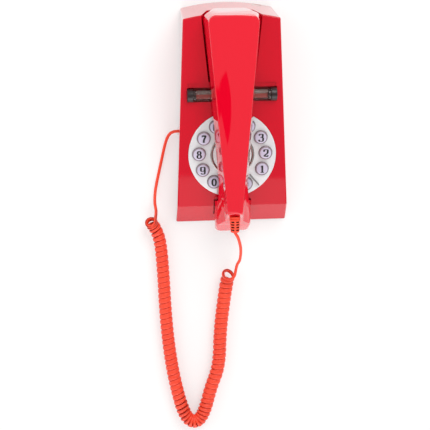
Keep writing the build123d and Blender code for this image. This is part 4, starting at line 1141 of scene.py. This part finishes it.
def makeFloor():
    half, z, shade = floorSet["half"], floorSet["z"], floorSet["shade"]
    corners = [(-half, -half, z), (half, -half, z), (half, half, z), (-half, half, z)]
    finish = Finish("floorPaper", {"Roughness": 0.9, "Specular IOR Level": 0.0})
    finish.use("Base Color", (shade, shade, shade, 1))
    seen = finish.add("ShaderNodeLightPath", out="Is Camera Ray")
    seen = seen + finish.add("ShaderNodeLightPath", out="Is Glossy Ray")
    light = {"Color": floorSet["glowColour"], "Strength": floorSet["glow"]}
    glow = finish.add("ShaderNodeEmission", None, light)
    paper = Wire(finish, finish.shader.outputs[0])
    surface = finish.add("ShaderNodeMixShader", None, {0: seen * floorSet["glowShare"], 1: paper, 2: glow})
    finish.feed(finish.tree.nodes["Material Output"].inputs["Surface"], surface)
    floor = makePiece("floor", makeMesh("floor", corners, [[0, 1, 2, 3]]), finish.material)


def makeLight(name, place, size, watts, colour):
    data = bpy.data.lights.new(name, "AREA")
    data.size, data.energy, data.color = size, watts, colour
    lamp = bpy.data.objects.new(name, data)
    scene.collection.objects.link(lamp)
    aim = Vector(lightSet["aim"]) - Vector(place)
    lamp.matrix_world = Matrix.Translation(place) @ aim.to_track_quat("-Z", "Y").to_matrix().to_4x4()


def makeWorld():  # a pale room: even above, brighter behind, a white card low in front and one dark spot
    world = bpy.data.worlds.new("paleRoom")
    room = Finish("paleRoom", {"Color": (1, 1, 1, 1)}, world)
    where = room.add("ShaderNodeTexCoord", out="Generated")
    x = room.add("ShaderNodeSeparateXYZ", None, {"Vector": where}, "X")
    y = room.add("ShaderNodeSeparateXYZ", None, {"Vector": where}, "Y")
    card = lightSet["front"] - lightSet["overhead"]
    level = lightSet["overhead"] + lightSet["rear"] * room.ramp(y, lightSet["rearFrom"], lightSet["rearTo"])
    level = level + card * room.ramp(y, lightSet["frontFrom"], lightSet["frontTo"])
    level = level + lightSet["low"] * room.ramp(y, lightSet["lowFrom"], lightSet["lowTo"])
    (spotX, spotY), (halfX, halfY) = lightSet["spot"], lightSet["spotHalf"]
    rise = y - spotY
    across = room.sum("ABSOLUTE", (x - spotX - rise * lightSet["spotLean"]) * (1 / halfX), 0.0)
    rise = rise * (1 / halfY)
    spot = room.ramp(across + rise * rise, lightSet["spotOut"], lightSet["spotIn"])
    room.use("Strength", level * (1 - spot))
    scene.world = world


makeFloor()
makeLight("keyLight", lightSet["key"], lightSet["keySize"], lightSet["keyWatts"], lightSet["keyColour"])
makeLight("sideLight", lightSet["side"], lightSet["sideSize"], lightSet["sideWatts"], lightSet["sideColour"])
makeWorld()
scene.view_settings.view_transform = "Standard"
print("floor and light set")
